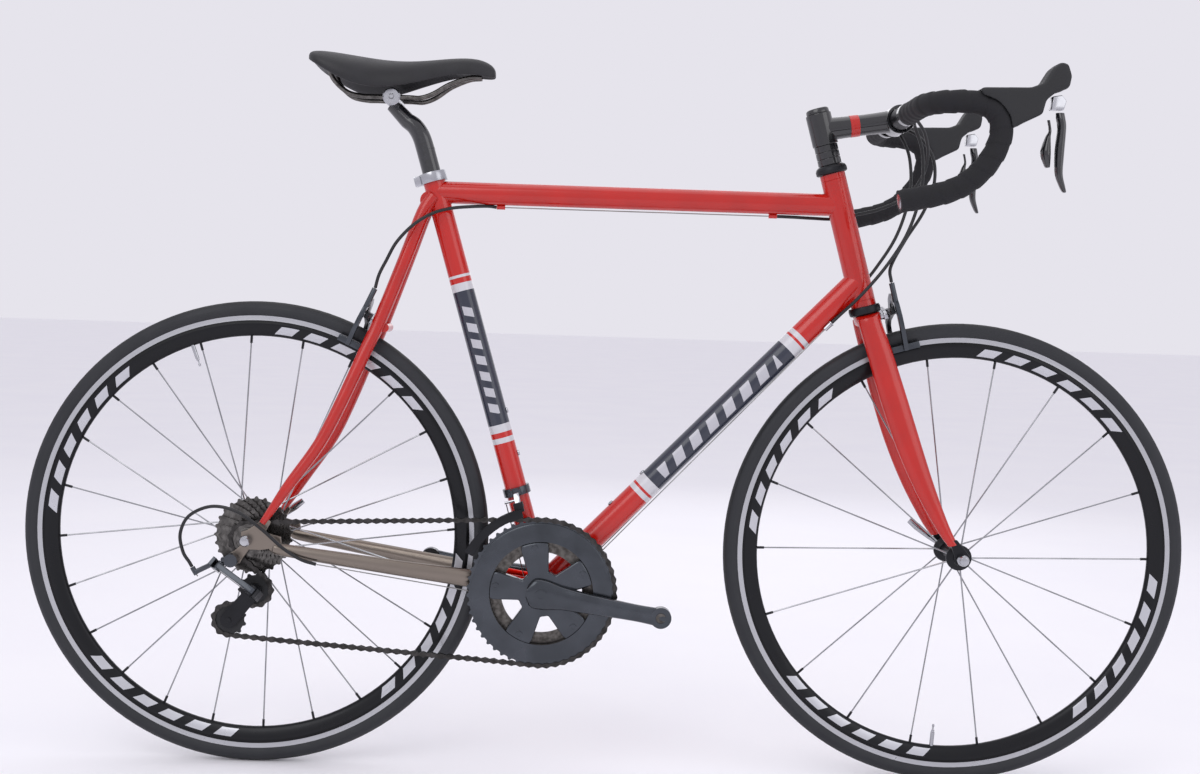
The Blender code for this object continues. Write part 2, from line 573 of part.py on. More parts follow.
def make_headset_and_fork():
    """Headset races on the frame, and the fork with its steerer, crown, blades and tips."""
    inner = STEERER_RADIUS + GAP
    lower = turned([(0.0225, 0.3700), (0.0232, 0.3660), (0.0225, 0.3600), (0.0205, 0.3585), (inner, 0.3585),
                    (inner, 0.3700)], HEAD_FOOT, HEAD_DIR, 20)
    finish(lower, "headset_lower", BLACK)
    upper = turned([(0.0175, 0.5790), (0.0210, 0.5765), (0.0225, 0.5730), (0.0225, 0.5680), (0.0205, 0.5664),
                    (inner, 0.5664), (inner, 0.5790)], HEAD_FOOT, HEAD_DIR, 20)
    finish(upper, "headset_upper", BLACK)
    shapes = [rod(on_head(CROWN_LOW + 0.002), on_head(STEM_CENTRE + 0.0200), STEERER_RADIUS, 16)]
    crown_axes = frame_matrix(HEAD_FOOT, HEAD_FRONT, Y_AXIS)
    shapes.append(box((0.001, 0, (CROWN_LOW + 0.3580) / 2), (0.036, 0.062, 0.3580 - CROWN_LOW), crown_axes))
    for side in (-1, 1):
        blade = []
        for (x, z), depth, thick, y in FORK_STATIONS:
            blade.append((Vector((x, y * side, z)), HEAD_FRONT * depth, Y_AXIS * thick))
        shapes.append(loft(blade, 12))
        tip = [(-0.0200, 0.0280), (-0.0080, 0.0280), (0.0040, 0.0140), (0.0110, 0.0050), (0.0100, -0.0060),
               (0.0048, -0.0090)] + arc(0.0048, 0, 180, 6) + [(-0.0048, -0.0090), (-0.0100, -0.0060),
                                                                (-0.0110, 0.0060)]
        centre = FRONT_HUB + Y_AXIS * side * (FRONT_OLD / 2 + 0.003 + GAP)
        shapes.append(plate([tip], 0.006, frame_matrix(centre, (1, 0, 0), (0, 0, 1))))
    shapes += brake_mount(FRONT_BRAKE, 1, FRONT_BRAKE_REACH_AHEAD)
    fork = union(*shapes)
    finish(fork, "fork", RED, HEAD_FOOT)


def make_stem_and_bar():
    """Stem with spacers, handlebar and its two wraps of tape."""
    clamp = rod(on_head(0.5794), on_head(0.6085), 0.0170, 20)
    shapes = [clamp, rod(on_head(0.6080), on_head(STEM_CENTRE + 0.0230), 0.0185, 20),
              rod(on_head(STEM_CENTRE + 0.0220), on_head(STEM_CENTRE + 0.0310), 0.0160, 20)]
    ahead = (BAR_CENTRE - on_head(STEM_CENTRE)).normalized()
    up = ahead.cross(Y_AXIS) * -1
    shapes.append(loft([(on_head(STEM_CENTRE) + ahead * d, up * h, Y_AXIS * w) for d, h, w in
                        ((0.005, 0.0185, 0.0175), (0.022, 0.0160, 0.0160), (0.060, 0.0150, 0.0150),
                         (0.100, 0.0160, 0.0180))], 16))
    shapes.append(rod(BAR_CENTRE - Y_AXIS * 0.021, BAR_CENTRE + Y_AXIS * 0.021, 0.0205, 24))
    axes = frame_matrix(on_head(STEM_CENTRE), HEAD_FRONT, Y_AXIS)
    shapes.append(box((-0.0195, 0, 0), (0.011, 0.020, 0.036), axes))
    stem = union(*shapes)
    stem = cut(stem, rod(on_head(0.57), on_head(STEM_CENTRE + 0.0205), STEERER_RADIUS + GAP * 1.5, 20),
               rod(BAR_CENTRE - Y_AXIS * 0.03, BAR_CENTRE + Y_AXIS * 0.03, BAR_CLAMP_RADIUS + GAP * 1.5, 24),
               box((-0.0225, 0, 0), (0.019, 0.0016, 0.050), axes))
    finish(stem, "stem", BLACK)
    half = bar_path()
    whole = [Vector((p.x, -p.y, p.z)) for p in reversed(half)] + half[1:]
    radii = [BAR_CLAMP_RADIUS if abs(p.y) < 0.040 else BAR_RADIUS for p in whole]
    finish(tube(whole, BAR_RADIUS, 8, radii), "handlebar", BLACK)
    for side, name in ((-1, "right"), (1, "left")):
        points = [Vector((p.x, p.y * side, p.z)) for p in half if p.y >= TAPE_START - 1e-6]
        sleeve = tube(points, TAPE_RADIUS, 8, caps=False)
        wall = sleeve.modifiers.new("wall", "SOLIDIFY")
        wall.thickness = TAPE_RADIUS - 0.0128
        wall.offset = -1
        finish(boolean(sleeve, [], "UNION"), name + "_bar_tape", TAPE)


TAPE_START = 0.062
BAR_SIDE = [  # ahead of and above the clamp, side offset, for one half of the bar
    (0.000, 0.000, 0.150), (0.0040, 0.000, 0.172), (0.0160, 0.000, 0.192), (0.0340, 0.000, 0.2025),
    (0.0520, -0.0005, 0.205), (0.0700, -0.0040, 0.206), (0.0840, -0.0135, 0.207), (0.0905, -0.0290, 0.208),
    (0.0890, -0.0480, 0.209), (0.0810, -0.0680, 0.210), (0.0680, -0.0870, 0.211), (0.0500, -0.1035, 0.212),
    (0.0300, -0.1150, 0.213), (0.0050, -0.1230, 0.2135), (-0.0395, -0.1325, 0.214)]


def bar_path():
    """The handlebar's centreline from the middle to its left end."""
    points = [Vector((0, 0, 0)), Vector((0, 0.022, 0)), Vector((0, TAPE_START - 0.002, 0)), Vector((0, TAPE_START, 0)),
              Vector((0, 0.110, 0))]
    points += [Vector((x, y * BAR_HALF_WIDTH / 0.205, z)) for x, z, y in BAR_SIDE]
    return [BAR_CENTRE + p for p in points]


# ---- brake and shift levers ----
LEVER_PIVOT = BAR_CENTRE + Vector((0.1600, 0, -0.0010))
HOOD_OUTLINE = [(0.0585, 0.0170), (0.0900, 0.0182), (0.1240, 0.0188), (0.1390, 0.0250), (0.1500, 0.0440),
                (0.1600, 0.0520), (0.1700, 0.0500), (0.1755, 0.0350), (0.1730, 0.0190), (0.1560, 0.0130),
                (0.1440, 0.0030), (0.1400, -0.0150), (0.1300, -0.0200), (0.1150, -0.0275), (0.1045, -0.0340),
                (0.0960, -0.0340), (0.0960, -0.0200), (0.0800, -0.0020), (0.0600, 0.0060)]


def make_levers():
    """Hoods, pivot blocks, brake levers and shift paddles, right then left."""
    for side, name in ((-1, "right"), (1, "left")):
        y = side * BAR_HALF_WIDTH * 1.008
        axes = frame_matrix(BAR_CENTRE + Y_AXIS * y, (1, 0, 0), (0, 0, 1))
        hood = plate([HOOD_OUTLINE], 0.034, axes)
        bevel = hood.modifiers.new("round", "BEVEL")
        bevel.width = 0.006
        bevel.segments = 1
        bevel.limit_method = "ANGLE"
        bevel.angle_limit = math.radians(60)
        hood = boolean(hood, [], "UNION")
        path = [Vector((p.x, p.y * side, p.z)) for p in bar_path() if p.y > 0.19]
        hood = cut(hood, tube(path, TAPE_RADIUS + 0.0012, 12))
        hood = cut(hood, box((0.1610, 0.0030, 0), (0.0260, 0.0300, 0.0140), axes))
        finish(hood, name + "_lever_hood", RUBBER)
        pivot = LEVER_PIVOT + Y_AXIS * y
        block = [(-0.0070, -0.0070), (0.0090, -0.0070), (0.0120, 0.0050), (0.0060, 0.0120), (-0.0060, 0.0100)]
        block = plate([block], 0.0125, frame_matrix(pivot, (1, 0, 0), (0, 0, 1)))
        finish(block, name + "_lever_pivot_block", STEEL, pivot)
        rows = [(Vector((0.0060, 0, -0.0105)), 0.0055, 0.0060), (Vector((0.0072, 0, -0.0180)), 0.0058, 0.0080),
                (Vector((0.0090, 0, -0.030)), 0.0055, 0.0085),
                (Vector((0.0075, 0, -0.062)), 0.0060, 0.0085), (Vector((0.0080, 0, -0.088)), 0.0050, 0.0075),
                (Vector((0.0130, 0, -0.104)), 0.0038, 0.0060), (Vector((0.0165, 0, -0.1125)), 0.0022, 0.0040)]
        lever = loft([(pivot + c, Vector((u, 0, 0)), Vector((0, v, 0))) for c, u, v in rows], 10)
        finish(lever, name + "_brake_lever", CARBON, pivot + Vector((0.0060, 0, -0.0105)))
        rows = [(Vector((-0.0085, 0, -0.0200)), 0.0018, 0.0030), (Vector((-0.0060, 0, -0.0330)), 0.0018, 0.0030),
                (Vector((-0.0085, 0, -0.0420)), 0.0035, 0.0060), (Vector((-0.0105, 0, -0.0620)), 0.0065, 0.0095),
                (Vector((-0.0075, 0, -0.0800)), 0.0035, 0.0060)]
        paddle = loft([(pivot + c, Vector((u, 0, 0)), Vector((0, v, 0))) for c, u, v in rows], 8)
        finish(paddle, name + "_shift_paddle", BLACK, pivot + Vector((-0.0085, 0, -0.0200)))


# ---- wheels ----
WHEEL_STEPS = 36
FLAT = math.cos(math.pi / WHEEL_STEPS)  # the polygon's share of a true circle


def make_tyre_and_rim(hub, name):
    """A tyre seated in the rim's channel."""
    half, lip, bed = TYRE_WIDTH / 2, 0.0070, RIM_RADIUS - 0.0055
    side = [(TYRE_RADIUS, 0.0), (TYRE_RADIUS - 0.0030, 0.68 * half), (TYRE_RADIUS - 0.0105, half),
            (RIM_RADIUS + 0.0006, 0.84 * half), (RIM_RADIUS + 0.0006, lip), (bed + GAP, lip)]
    profile = side[::-1] + [(r, -h) for r, h in side[1:]]
    finish(turned(profile, hub, Y_AXIS, WHEEL_STEPS), name + "_tyre", RUBBER, hub)
    w = RIM_WIDTH / 2
    side = [(RIM_RADIUS - RIM_DEPTH, 0.0040), (RIM_RADIUS - 0.0270, 0.0064), (RIM_RADIUS - 0.0150, w), (RIM_RADIUS, w), (RIM_RADIUS, lip + GAP * 1.5),
            (bed, lip + GAP * 1.5)]
    profile = side + [(r, -h) for r, h in side[::-1]]
    finish(turned(profile, hub, Y_AXIS, WHEEL_STEPS), name + "_rim", GREY, hub)


def spoke(hub, flange_y, flange_radius, flange_angle, rim_angle, lateral=0.0):
    """A straight spoke from a flange to the rim's inner face."""
    end = (RIM_RADIUS - RIM_DEPTH) * FLAT - GAP * 2
    a, b = math.radians(flange_angle), math.radians(rim_angle)
    start = hub + Vector((flange_radius * math.cos(a), flange_y + lateral, flange_radius * math.sin(a)))
    stop = hub + Vector((end * math.cos(b), lateral * 0.1, end * math.sin(b)))
    return rod(start, stop, 0.0011, 4)


def make_hubs():
    """Hub shells with their spokes, as one node a wheel."""
    front = [(0.0052, 0.0492), (0.0090, 0.0492), (0.0100, 0.0400), (0.0185, 0.0385), (0.0185, 0.0350), (0.0105, 0.0330),
             (0.0090, 0.0)]
    profile = front + [(r, -h) for r, h in front[-2::-1]]
    hub = turned(profile, FRONT_HUB, Y_AXIS, 20)
    spokes = [spoke(FRONT_HUB, (0.0365 if i % 2 else -0.0365), 0.0165, i * 20, i * 20) for i in range(18)]
    finish(union(hub, combine(spokes)), "front_hub_and_spokes", BLACK, FRONT_HUB)
    profile = [(0.0057, 0.0642), (0.0095, 0.0642), (0.0110, 0.0500), (0.0120, 0.0385), (0.0200, 0.0370), (0.0200, 0.0335),
               (0.0120, 0.0310), (0.0140, -0.0130), (0.0280, -0.0165), (0.0280, -0.0200), (0.0150, -0.0225),
               (0.0057, -0.0225)]
    hub = turned(profile, REAR_HUB, Y_AXIS, 20)
    spokes = []
    for i in range(24):
        rim_angle = 15 * i + 2.7
        drive = i % 2 == 0
        lead = 1 if (i // 2) % 2 else -1
        spokes.append(spoke(REAR_HUB, -0.01825 if drive else 0.03525, 0.0255 if drive else 0.0178,
                            rim_angle + lead * 60, rim_angle, lead * 0.0014))
    finish(union(hub, combine(spokes)), "rear_hub_and_spokes", BLACK, REAR_HUB)


def make_axles():
    """Axles with their skewer nuts and cam housings, and the two quick-release levers."""
    for hub, old, name, bore in ((FRONT_HUB, FRONT_OLD, "front", 0.0045), (REAR_HUB, REAR_OLD, "rear", 0.0050)):
        wall = old / 2 + (0.006 if name == "front" else DROPOUT) + GAP * 3
        profile = [(0.0, -wall - 0.0125), (0.0060, -wall - 0.0120), (0.0080, -wall - 0.0080), (0.0085, -wall), (bore, -wall),
                   (bore, wall), (0.0090, wall), (0.0090, wall + 0.0065), (0.0060, wall + 0.0090),
                   (0.0060, wall + 0.0170), (0.0, wall + 0.0170)]
        axle = turned(profile[::-1], hub, Y_AXIS, 16)
        lever_dir = Vector((-0.80, 0, 0.60)) if name == "front" else Vector((0.80, 0, 0.60))
        pivot = hub + Y_AXIS * (wall + 0.0130)
        axis = lever_dir.cross(Y_AXIS)
        slot = box((0, 0, 0), (0.0200, 0.0200, 0.0066), frame_matrix(pivot, lever_dir, Y_AXIS))
        finish(cut(axle, slot), name + "_axle", SILVER, hub)
        lever = loft([(pivot + lever_dir * d + Y_AXIS * o, axis * t, Y_AXIS * h) for d, o, t, h in
                      ((-0.0045, 0, 0.0028, 0.0045), (0.006, 0.0010, 0.0028, 0.0045), (0.020, 0.0030, 0.0045, 0.0030),
                       (0.045, 0.0010, 0.0060, 0.0022), (0.062, -0.0030, 0.0045, 0.0018))], 10)
        finish(lever, name + "_skewer_lever", SILVER, pivot)


# ---- drivetrain ----
GUIDE = Vector((-0.4952, COG_Y, 0.2641))
TENSION = Vector((-0.5310, COG_Y, 0.2211))


CHAIN_WHEELS = [  # x, z, pitch radius and turn, -1 for clockwise seen from the drive side
    (REAR_HUB.x, REAR_HUB.z, pitch_radius(COG_TEETH), -1), (BB.x, BB.z, pitch_radius(RING_TEETH), -1),
    (TENSION.x, TENSION.z, pitch_radius(PULLEY_TEETH), -1), (GUIDE.x, GUIDE.z, pitch_radius(PULLEY_TEETH), 1)]
SLANT_START, SLANT_END = REAR_HUB.x + 0.045, BB.x - 0.070


def belt(wheels, spacing):
    """The closed path round the wheels, as points with their directions away from the loop."""
    touch = []
    for i, (x1, z1, r1, s1) in enumerate(wheels):
        x2, z2, r2, s2 = wheels[(i + 1) % len(wheels)]
        base = math.atan2(z2 - z1, x2 - x1)
        angle = base - math.asin((s2 * r2 - s1 * r1) / math.hypot(x2 - x1, z2 - z1))
        left = Vector((-math.sin(angle), math.cos(angle)))
        touch.append((Vector((x1, z1)) - left * s1 * r1, Vector((x2, z2)) - left * s2 * r2, left))
    stations = []
    for i, (x, z, r, s) in enumerate(wheels):
        arrive, leave = touch[i - 1][1], touch[i][0]
        start = math.atan2(arrive.y - z, arrive.x - x)
        sweep = (s * (math.atan2(leave.y - z, leave.x - x) - start)) % (2 * math.pi)
        steps = max(2, round(sweep * r / spacing))
        for k in range(steps + 1):
            out = Vector((math.cos(start + s * sweep * k / steps), math.sin(start + s * sweep * k / steps)))
            stations.append((Vector((x, z)) + out * r, out * -s))
        following, left = touch[i][1], touch[i][2]
        for x_break in sorted((SLANT_START, SLANT_END), reverse=following.x < leave.x):
            share = (x_break - leave.x) / (following.x - leave.x)
            if 0.01 < share < 0.99:
                stations.append((leave.lerp(following, share), left))
    return stations


def chain_y(x):
    """The chain runs straight behind the hub and over the ring, and slants between them."""
    share = (x - SLANT_START) / (SLANT_END - SLANT_START)
    return COG_Y + (RING_Y - COG_Y) * min(1, max(0, share))


def tooth_outline(teeth, depth=0.0040):
    """A zigzag of teeth about the pitch circle."""
    pitch = pitch_radius(teeth)
    return [((pitch + (0.0019 if i % 2 else 0.0019 - depth)) * math.cos(math.pi * i / teeth),
             (pitch + (0.0019 if i % 2 else 0.0019 - depth)) * math.sin(math.pi * i / teeth)) for i in range(2 * teeth)]


def disc_at(centre, y, radius, half):
    """A cutter disc for a toothed wheel's sweep."""
    return rod((centre.x, y - half, centre.z), (centre.x, y + half, centre.z), radius, 48)


def make_chain():
    """A closed band along the chain's path, grooved where toothed wheels run in it."""
    bm = bmesh.new()
    rings = []
    for point, out in belt(CHAIN_WHEELS, 0.0095):
        ring = []
        for height, width in ((1, -1), (1, 1), (-1, 1), (-1, -1)):
            where = point + out * height * CHAIN_HEIGHT / 2
            ring.append(bm.verts.new((where.x, chain_y(point.x) + width * CHAIN_WIDTH / 2, where.y)))
        rings.append(ring)
    for first, second in zip(rings, rings[1:] + rings[:1]):
        for i in range(4):
            j = (i + 1) % 4
            bm.faces.new((first[i], first[j], second[j], second[i]))
    band = from_bmesh(bm)
    tip = 0.0024
    band = cut(band, disc_at(BB, RING_Y, pitch_radius(RING_TEETH) + tip, 0.0014),
               disc_at(REAR_HUB, COG_Y, pitch_radius(COG_TEETH) + tip, 0.0013),
               disc_at(TENSION, COG_Y, pitch_radius(PULLEY_TEETH) + tip, 0.0013),
               disc_at(GUIDE, COG_Y, pitch_radius(PULLEY_TEETH) + tip, 0.0013))
    finish(band, "chain", STEEL)


def make_cassette():
    """The sprocket stack on its carrier, largest sprocket next to the spokes."""
    teeth = [12, 13, 14, 15, 17, 19, 21, 23, 25, 27]
    profile = [(0.0060, -0.0632), (0.0160, -0.0632), (0.0160, -0.0614), (pitch_radius(12) + 0.0019, -0.0612),
               (pitch_radius(12) + 0.0019, -0.0594), (0.0190, -0.0594)]
    for i, count in enumerate(teeth[1:]):
        y = COG_Y + 0.0032 + i * COG_STEP
        radius = pitch_radius(count) + 0.0019
        profile += [(profile[-1][0], y), (radius, y)]
    profile += [(profile[-1][0], -0.0240), (0.0060, -0.0240)]
    finish(turned(profile[::-1], REAR_HUB, Y_AXIS, 20), "cassette", STEEL, REAR_HUB)


def make_crankset():
    """Chainrings, the right crank with its spider and axle, and the left crank."""
    axes = frame_matrix(Vector((BB.x, RING_Y, BB.z)), (1, 0, 0), (0, 0, 1))
    ring = plate([tooth_outline(RING_TEETH), circle(0.0755, 40)], 0.0022, axes)
    band = turned([(0.0740, 0.0530), (0.1000, 0.0515), (0.1005, 0.0462), (0.0740, 0.0462)], BB, -Y_AXIS, 40)
    finish(union(ring, band), "large_chainring", GREY, BB)
    axes = frame_matrix(Vector((BB.x, INNER_RING_Y, BB.z)), (1, 0, 0), (0, 0, 1))
    inner = plate([tooth_outline(INNER_TEETH), circle(0.0580, 30)], 0.0022, axes)
    finish(inner, "small_chainring", STEEL, BB)
    for side, name in ((-1, "right"), (1, "left")):
        angle = -CRANK_ANGLE if side < 0 else math.pi - CRANK_ANGLE
        along = Vector((math.cos(angle), 0, math.sin(angle)))
        across = along.cross(Y_AXIS)
        face = side * PEDAL_FACE
        start = side * 0.0560
        rows = [(-0.0210, start, 0.0080, 0.0090), (-0.0120, start, 0.0205, 0.0100), (0.0060, start, 0.0215, 0.0100),
                (0.0300, side * 0.0575, 0.0170, 0.0095), (0.0700, side * 0.0625, 0.0142, 0.0085),
                (0.1350, side * 0.0655, 0.0120, 0.0070), (CRANK_LENGTH, face - side * 0.0065, 0.0125, 0.0065),
                (CRANK_LENGTH + 0.0120, face - side * 0.0065, 0.0070, 0.0065)]
        arm = loft([(BB + along * d + Y_AXIS * y, across * h, Y_AXIS * w) for d, y, h, w in rows], 12, 0.6)
        eye = BB + along * CRANK_LENGTH
        shapes = [arm, rod(eye + Y_AXIS * (face - side * 0.0130), eye + Y_AXIS * face, 0.0150, 20)]
        if side < 0:
            shapes.append(rod(BB - Y_AXIS * 0.0500, BB + Y_AXIS * 0.0480, AXLE_RADIUS, 16))
            shapes.append(spider(along))
        crank = union(*shapes)
        hole = rod(eye + Y_AXIS * side * 0.05, eye + Y_AXIS * side * 0.09, 0.0071, 14)
        if side < 0:
            crank = cut(crank, hole)
        else:
            crank = cut(crank, hole, rod(BB + Y_AXIS * 0.03, BB + Y_AXIS * 0.0483, AXLE_RADIUS + GAP, 16))
        finish(crank, name + "_crank", GREY, BB)


def spider(along):
    """Five arms that carry the chainrings, the first in line with the crank arm's back."""
    outline = []
    first = math.degrees(math.atan2(along.z, along.x)) + 36
    for i in range(5):
        middle = first + 72 * i
        outline += arc(0.0736, middle - 9.5, middle + 9.5, 4)
        outline += arc(0.0300, middle + 24, middle + 48, 2)
    centre = Vector((BB.x, -0.0485, BB.z))
    return plate([outline], 0.0130, frame_matrix(centre, (1, 0, 0), (0, 0, 1)))


# ---- derailleurs ----
HINGE = Vector((0.561, 0.370, 0.741)).normalized()  # the rear derailleur's link pins
LINK_START = Vector((-0.5440, -0.0730, 0.2985))
LINK_AIM = Vector((0.0505, -0.0165, -0.0300))
LINK_LINE = (LINK_AIM - HINGE * LINK_AIM.dot(HINGE)).normalized()
LINK = LINK_LINE * 0.0608
LINK_SIDE = HINGE.cross(LINK_LINE)
LINK_OFFSET = (LINK_SIDE * math.cos(0.32) - LINK_LINE * math.sin(0.32)) * 0.0125
LINK_HALF = 0.0040
PIN_RADIUS = 0.0015


def capsule(start, end, normal, radius, thickness, hole=0.0):
    """A bar with round ends between two points, flat across the normal, with holes at its ends."""
    line = end - start
    length = line.length
    outline = arc(radius, 90, 270, 6) + arc(radius, -90, 90, 6, (length, 0))
    matrix = frame_matrix(start, line, normal.cross(line))
    bar = plate([outline], thickness, matrix)
    if hole:
        for point in (start, end):
            bar = cut(bar, rod(point - normal * thickness, point + normal * thickness, hole, 8))
    return bar


def ears(first, second, normal, half, radius, thickness=0.0024):
    """Two plates on either side of a hinge pair, with the hinge pins between them."""
    shapes = []
    for side in (-1, 1):
        shift = normal * side * (half + GAP * 1.3 + thickness / 2)
        shapes.append(capsule(first + shift, second + shift, normal, radius, thickness))
    reach = half + GAP + thickness * 0.8
    for point in (first, second):
        shapes.append(rod(point - normal * reach, point + normal * reach, PIN_RADIUS, 8))
    return shapes


def make_rear_derailleur():
    """Hanger mount, two links, knuckle, cage and two pulleys."""
    inner_start, link_end = LINK_START + LINK_OFFSET, LINK_START + LINK
    inner_end = inner_start + LINK
    for start, end, radius, name in ((LINK_START, link_end, 0.0058, "outer"), (inner_start, inner_end, 0.0038, "inner")):
        bar = capsule(start, end, HINGE, radius, LINK_HALF * 2, PIN_RADIUS + GAP)
        finish(bar, "rear_derailleur_" + name + "_link", GREY, start)
    outboard = HANGER.y - 0.0017
    shapes = ears(LINK_START, inner_start, HINGE, LINK_HALF, 0.0056)
    heel = LINK_START + LINK_SIDE * 0.0060 - LINK_LINE * 0.0110
    axes = frame_matrix(heel, LINK_LINE, LINK_SIDE)
    shapes.append(box((0, 0, 0), (0.0050, 0.0230, 0.0132), axes))
    shapes.append(rod((HANGER.x, outboard, HANGER.z), (HANGER.x, outboard - 0.0140, HANGER.z), 0.0095, 14))
    shapes.append(rod((HANGER.x, outboard - 0.0080, HANGER.z),
                      LINK_START + HINGE * 0.0092 - LINK_SIDE * 0.0050, 0.0048, 10))
    barrel, aim = RD_BARREL, BARREL_AIM
    shapes.append(rod(heel, barrel + aim * 0.0020, 0.0036, 8))
    shapes.append(rod(barrel - aim * 0.0060, barrel + aim * 0.0060, 0.0036, 10))
    mount = union(*shapes)
    mount = cut(mount, rod((HANGER.x, HANGER.y + 0.02, HANGER.z), (HANGER.x, outboard, HANGER.z), 0.0112, 20),
                rod(barrel - aim * 0.02, barrel + aim * 0.02, 0.0013, 8))
    mount = union(mount, rod((HANGER.x, HANGER.y + 0.0035, HANGER.z), (HANGER.x, outboard - 0.005, HANGER.z), 0.0046, 10))
    finish(mount, "rear_derailleur_mount", GREY, HANGER)
    shapes = ears(link_end, inner_end, HINGE, LINK_HALF, 0.0056)
    toe = link_end + LINK_SIDE * 0.0055 + LINK_LINE * 0.0092
    axes = frame_matrix(toe, LINK_LINE, LINK_SIDE)
    shapes.append(box((0, 0, 0), (0.0050, 0.0200, 0.0132), axes))
    body = rod((GUIDE.x, -0.0668, GUIDE.z), (GUIDE.x, -0.0760, GUIDE.z), 0.0110, 16)
    swing = [rod(p - HINGE * (LINK_HALF + GAP), p + HINGE * (LINK_HALF + GAP), r, 16)
             for p, r in ((link_end, 0.0064), (inner_end, 0.0044))]
    swing += [capsule(p, p - LINK.normalized() * 0.02, HINGE, r, (LINK_HALF + GAP) * 2)
              for p, r in ((link_end, 0.0064), (inner_end, 0.0044))]
    body = cut(body, *swing)
    knuckle = union(body, *shapes)
    knuckle = cut(knuckle, rod((GUIDE.x, -0.0600, GUIDE.z), (GUIDE.x, -0.0712, GUIDE.z), 0.0042, 12))
    finish(knuckle, "rear_derailleur_knuckle", BLACK, link_end)
    plates = []
    for y, r0, r1 in ((-0.0658, 0.0105, 0.0120), (-0.0548, 0.0085, 0.0110)):
        line = TENSION - GUIDE
        plates.append(tapered_bar(line.length, r0, r1, 0.0015,
                                  frame_matrix(Vector((GUIDE.x, y, GUIDE.z)), line, line.cross(Y_AXIS))))
    for pulley in (GUIDE, TENSION):
        plates.append(rod((pulley.x, -0.0544, pulley.z), (pulley.x, -0.0662, pulley.z), 0.0025, 10))
    plates.append(rod((GUIDE.x, -0.0655, GUIDE.z), (GUIDE.x, -0.0708, GUIDE.z), 0.0038, 12))
    plates.append(rod((TENSION.x, -0.0655, TENSION.z), (TENSION.x, -0.0688, TENSION.z), 0.0042, 8))
    finish(union(*plates), "rear_derailleur_cage", BLACK, GUIDE)
    for centre, name in ((GUIDE, "guide_pulley"), (TENSION, "tension_pulley")):
        axes = frame_matrix(centre, (1, 0, 0), (0, 0, 1))
        wheel = plate([tooth_outline(PULLEY_TEETH)], 0.0022, axes)
        hub = rod(centre - Y_AXIS * 0.0038, centre + Y_AXIS * 0.0038, 0.0062, 12)
        wheel = cut(union(wheel, hub), rod(centre - Y_AXIS * 0.01, centre + Y_AXIS * 0.01, 0.0028, 10))
        finish(wheel, name, BLACK, centre)


RD_BARREL = Vector((-0.5810, -0.0620, 0.2890))
BARREL_AIM = Vector((0.52, 0, -0.86)).normalized()


def tapered_bar(length, first, second, thickness, matrix):
    """A flat bar whose two round ends differ in size."""
    lean = math.degrees(math.asin((second - first) / length))
    outline = arc(first, 90 + lean, 270 - lean, 8) + arc(second, -90 - lean, 90 + lean, 8, (length, 0))
    return plate([outline], thickness, matrix)


FD_ALONG = 0.146
FD_AHEAD = Vector((SEAT_DIR.z, 0, -SEAT_DIR.x))
FD_CENTRE = on_seat(FD_ALONG)
FD_PIVOT = on_seat(FD_ALONG - 0.0030, 0, -0.0270)
FD_LINK = Y_AXIS * -0.0070 - SEAT_DIR * 0.0140


def make_front_derailleur():
    """Seat-tube clamp, link and cage."""
    axes = frame_matrix(FD_CENTRE, FD_AHEAD, Y_AXIS)
    band = rod(FD_CENTRE - SEAT_DIR * 0.0060, FD_CENTRE + SEAT_DIR * 0.0060, 0.0198, 20)
    fixed = [band, box((0, -0.0195, 0), (0.0142, 0.0070, 0.0114), axes), box((0, 0.0200, 0), (0.010, 0.009, 0.010), axes)]
    for side in (-1, 1):
        fixed.append(box((side * 0.0057, -0.0240, 0.0010), (0.0025, 0.0130, 0.0080), axes))
    fixed.append(rod(FD_PIVOT - FD_AHEAD * 0.0065, FD_PIVOT + FD_AHEAD * 0.0065, PIN_RADIUS, 8))
    body = cut(union(*fixed), rod(on_seat(0.1), on_seat(0.2), SEAT_TUBE_RADIUS + GAP * 1.5, 24))
    finish(body, "front_derailleur_clamp", GREY)
    foot = FD_PIVOT + FD_LINK
    link = capsule(FD_PIVOT, foot, FD_AHEAD, 0.0030, 0.0080, PIN_RADIUS + GAP)
    middle = (FD_PIVOT + foot) / 2 - Y_AXIS * 0.0008
    link = union(link, rod(middle, middle - FD_AHEAD * 0.0190, 0.0019, 8))
    finish(link, "front_derailleur_link", SILVER, FD_PIVOT)
    cage_axes = frame_matrix(Vector((BB.x, 0, BB.z)), (1, 0, 0), (0, 0, 1))
    shapes = []
    for y, low in ((-0.0430, 0.1105), (-0.0516, 0.1115)):
        outline = arc(0.1240, 105, 153, 10) + arc(low, 153, 105, 10)
        sheet = plate([outline], 0.0012, cage_axes)
        sheet.data.transform(Matrix.Translation((0, y, 0)))
        shapes.append(sheet)
    for angle, radius in ((106.5, 0.1228), (152.0, 0.1175)):
        c, s = math.cos(math.radians(angle)), math.sin(math.radians(angle))
        shapes.append(rod((BB.x + radius * c, -0.0426, BB.z + radius * s), (BB.x + radius * c, -0.0520, BB.z + radius * s),
                          0.0012, 8))
    foot_axes = frame_matrix(foot, FD_AHEAD, Y_AXIS)
    shapes.append(box((0, -0.0070, -0.0030), (0.0134, 0.0046, 0.0140), foot_axes))
    for side in (-1, 1):
        shapes.append(box((side * 0.0057, -0.0022, 0.0000), (0.0025, 0.0100, 0.0070), foot_axes))
    shapes.append(rod(foot - FD_AHEAD * 0.0065, foot + FD_AHEAD * 0.0065, PIN_RADIUS, 8))
    finish(union(*shapes), "front_derailleur_cage", BLACK, foot)


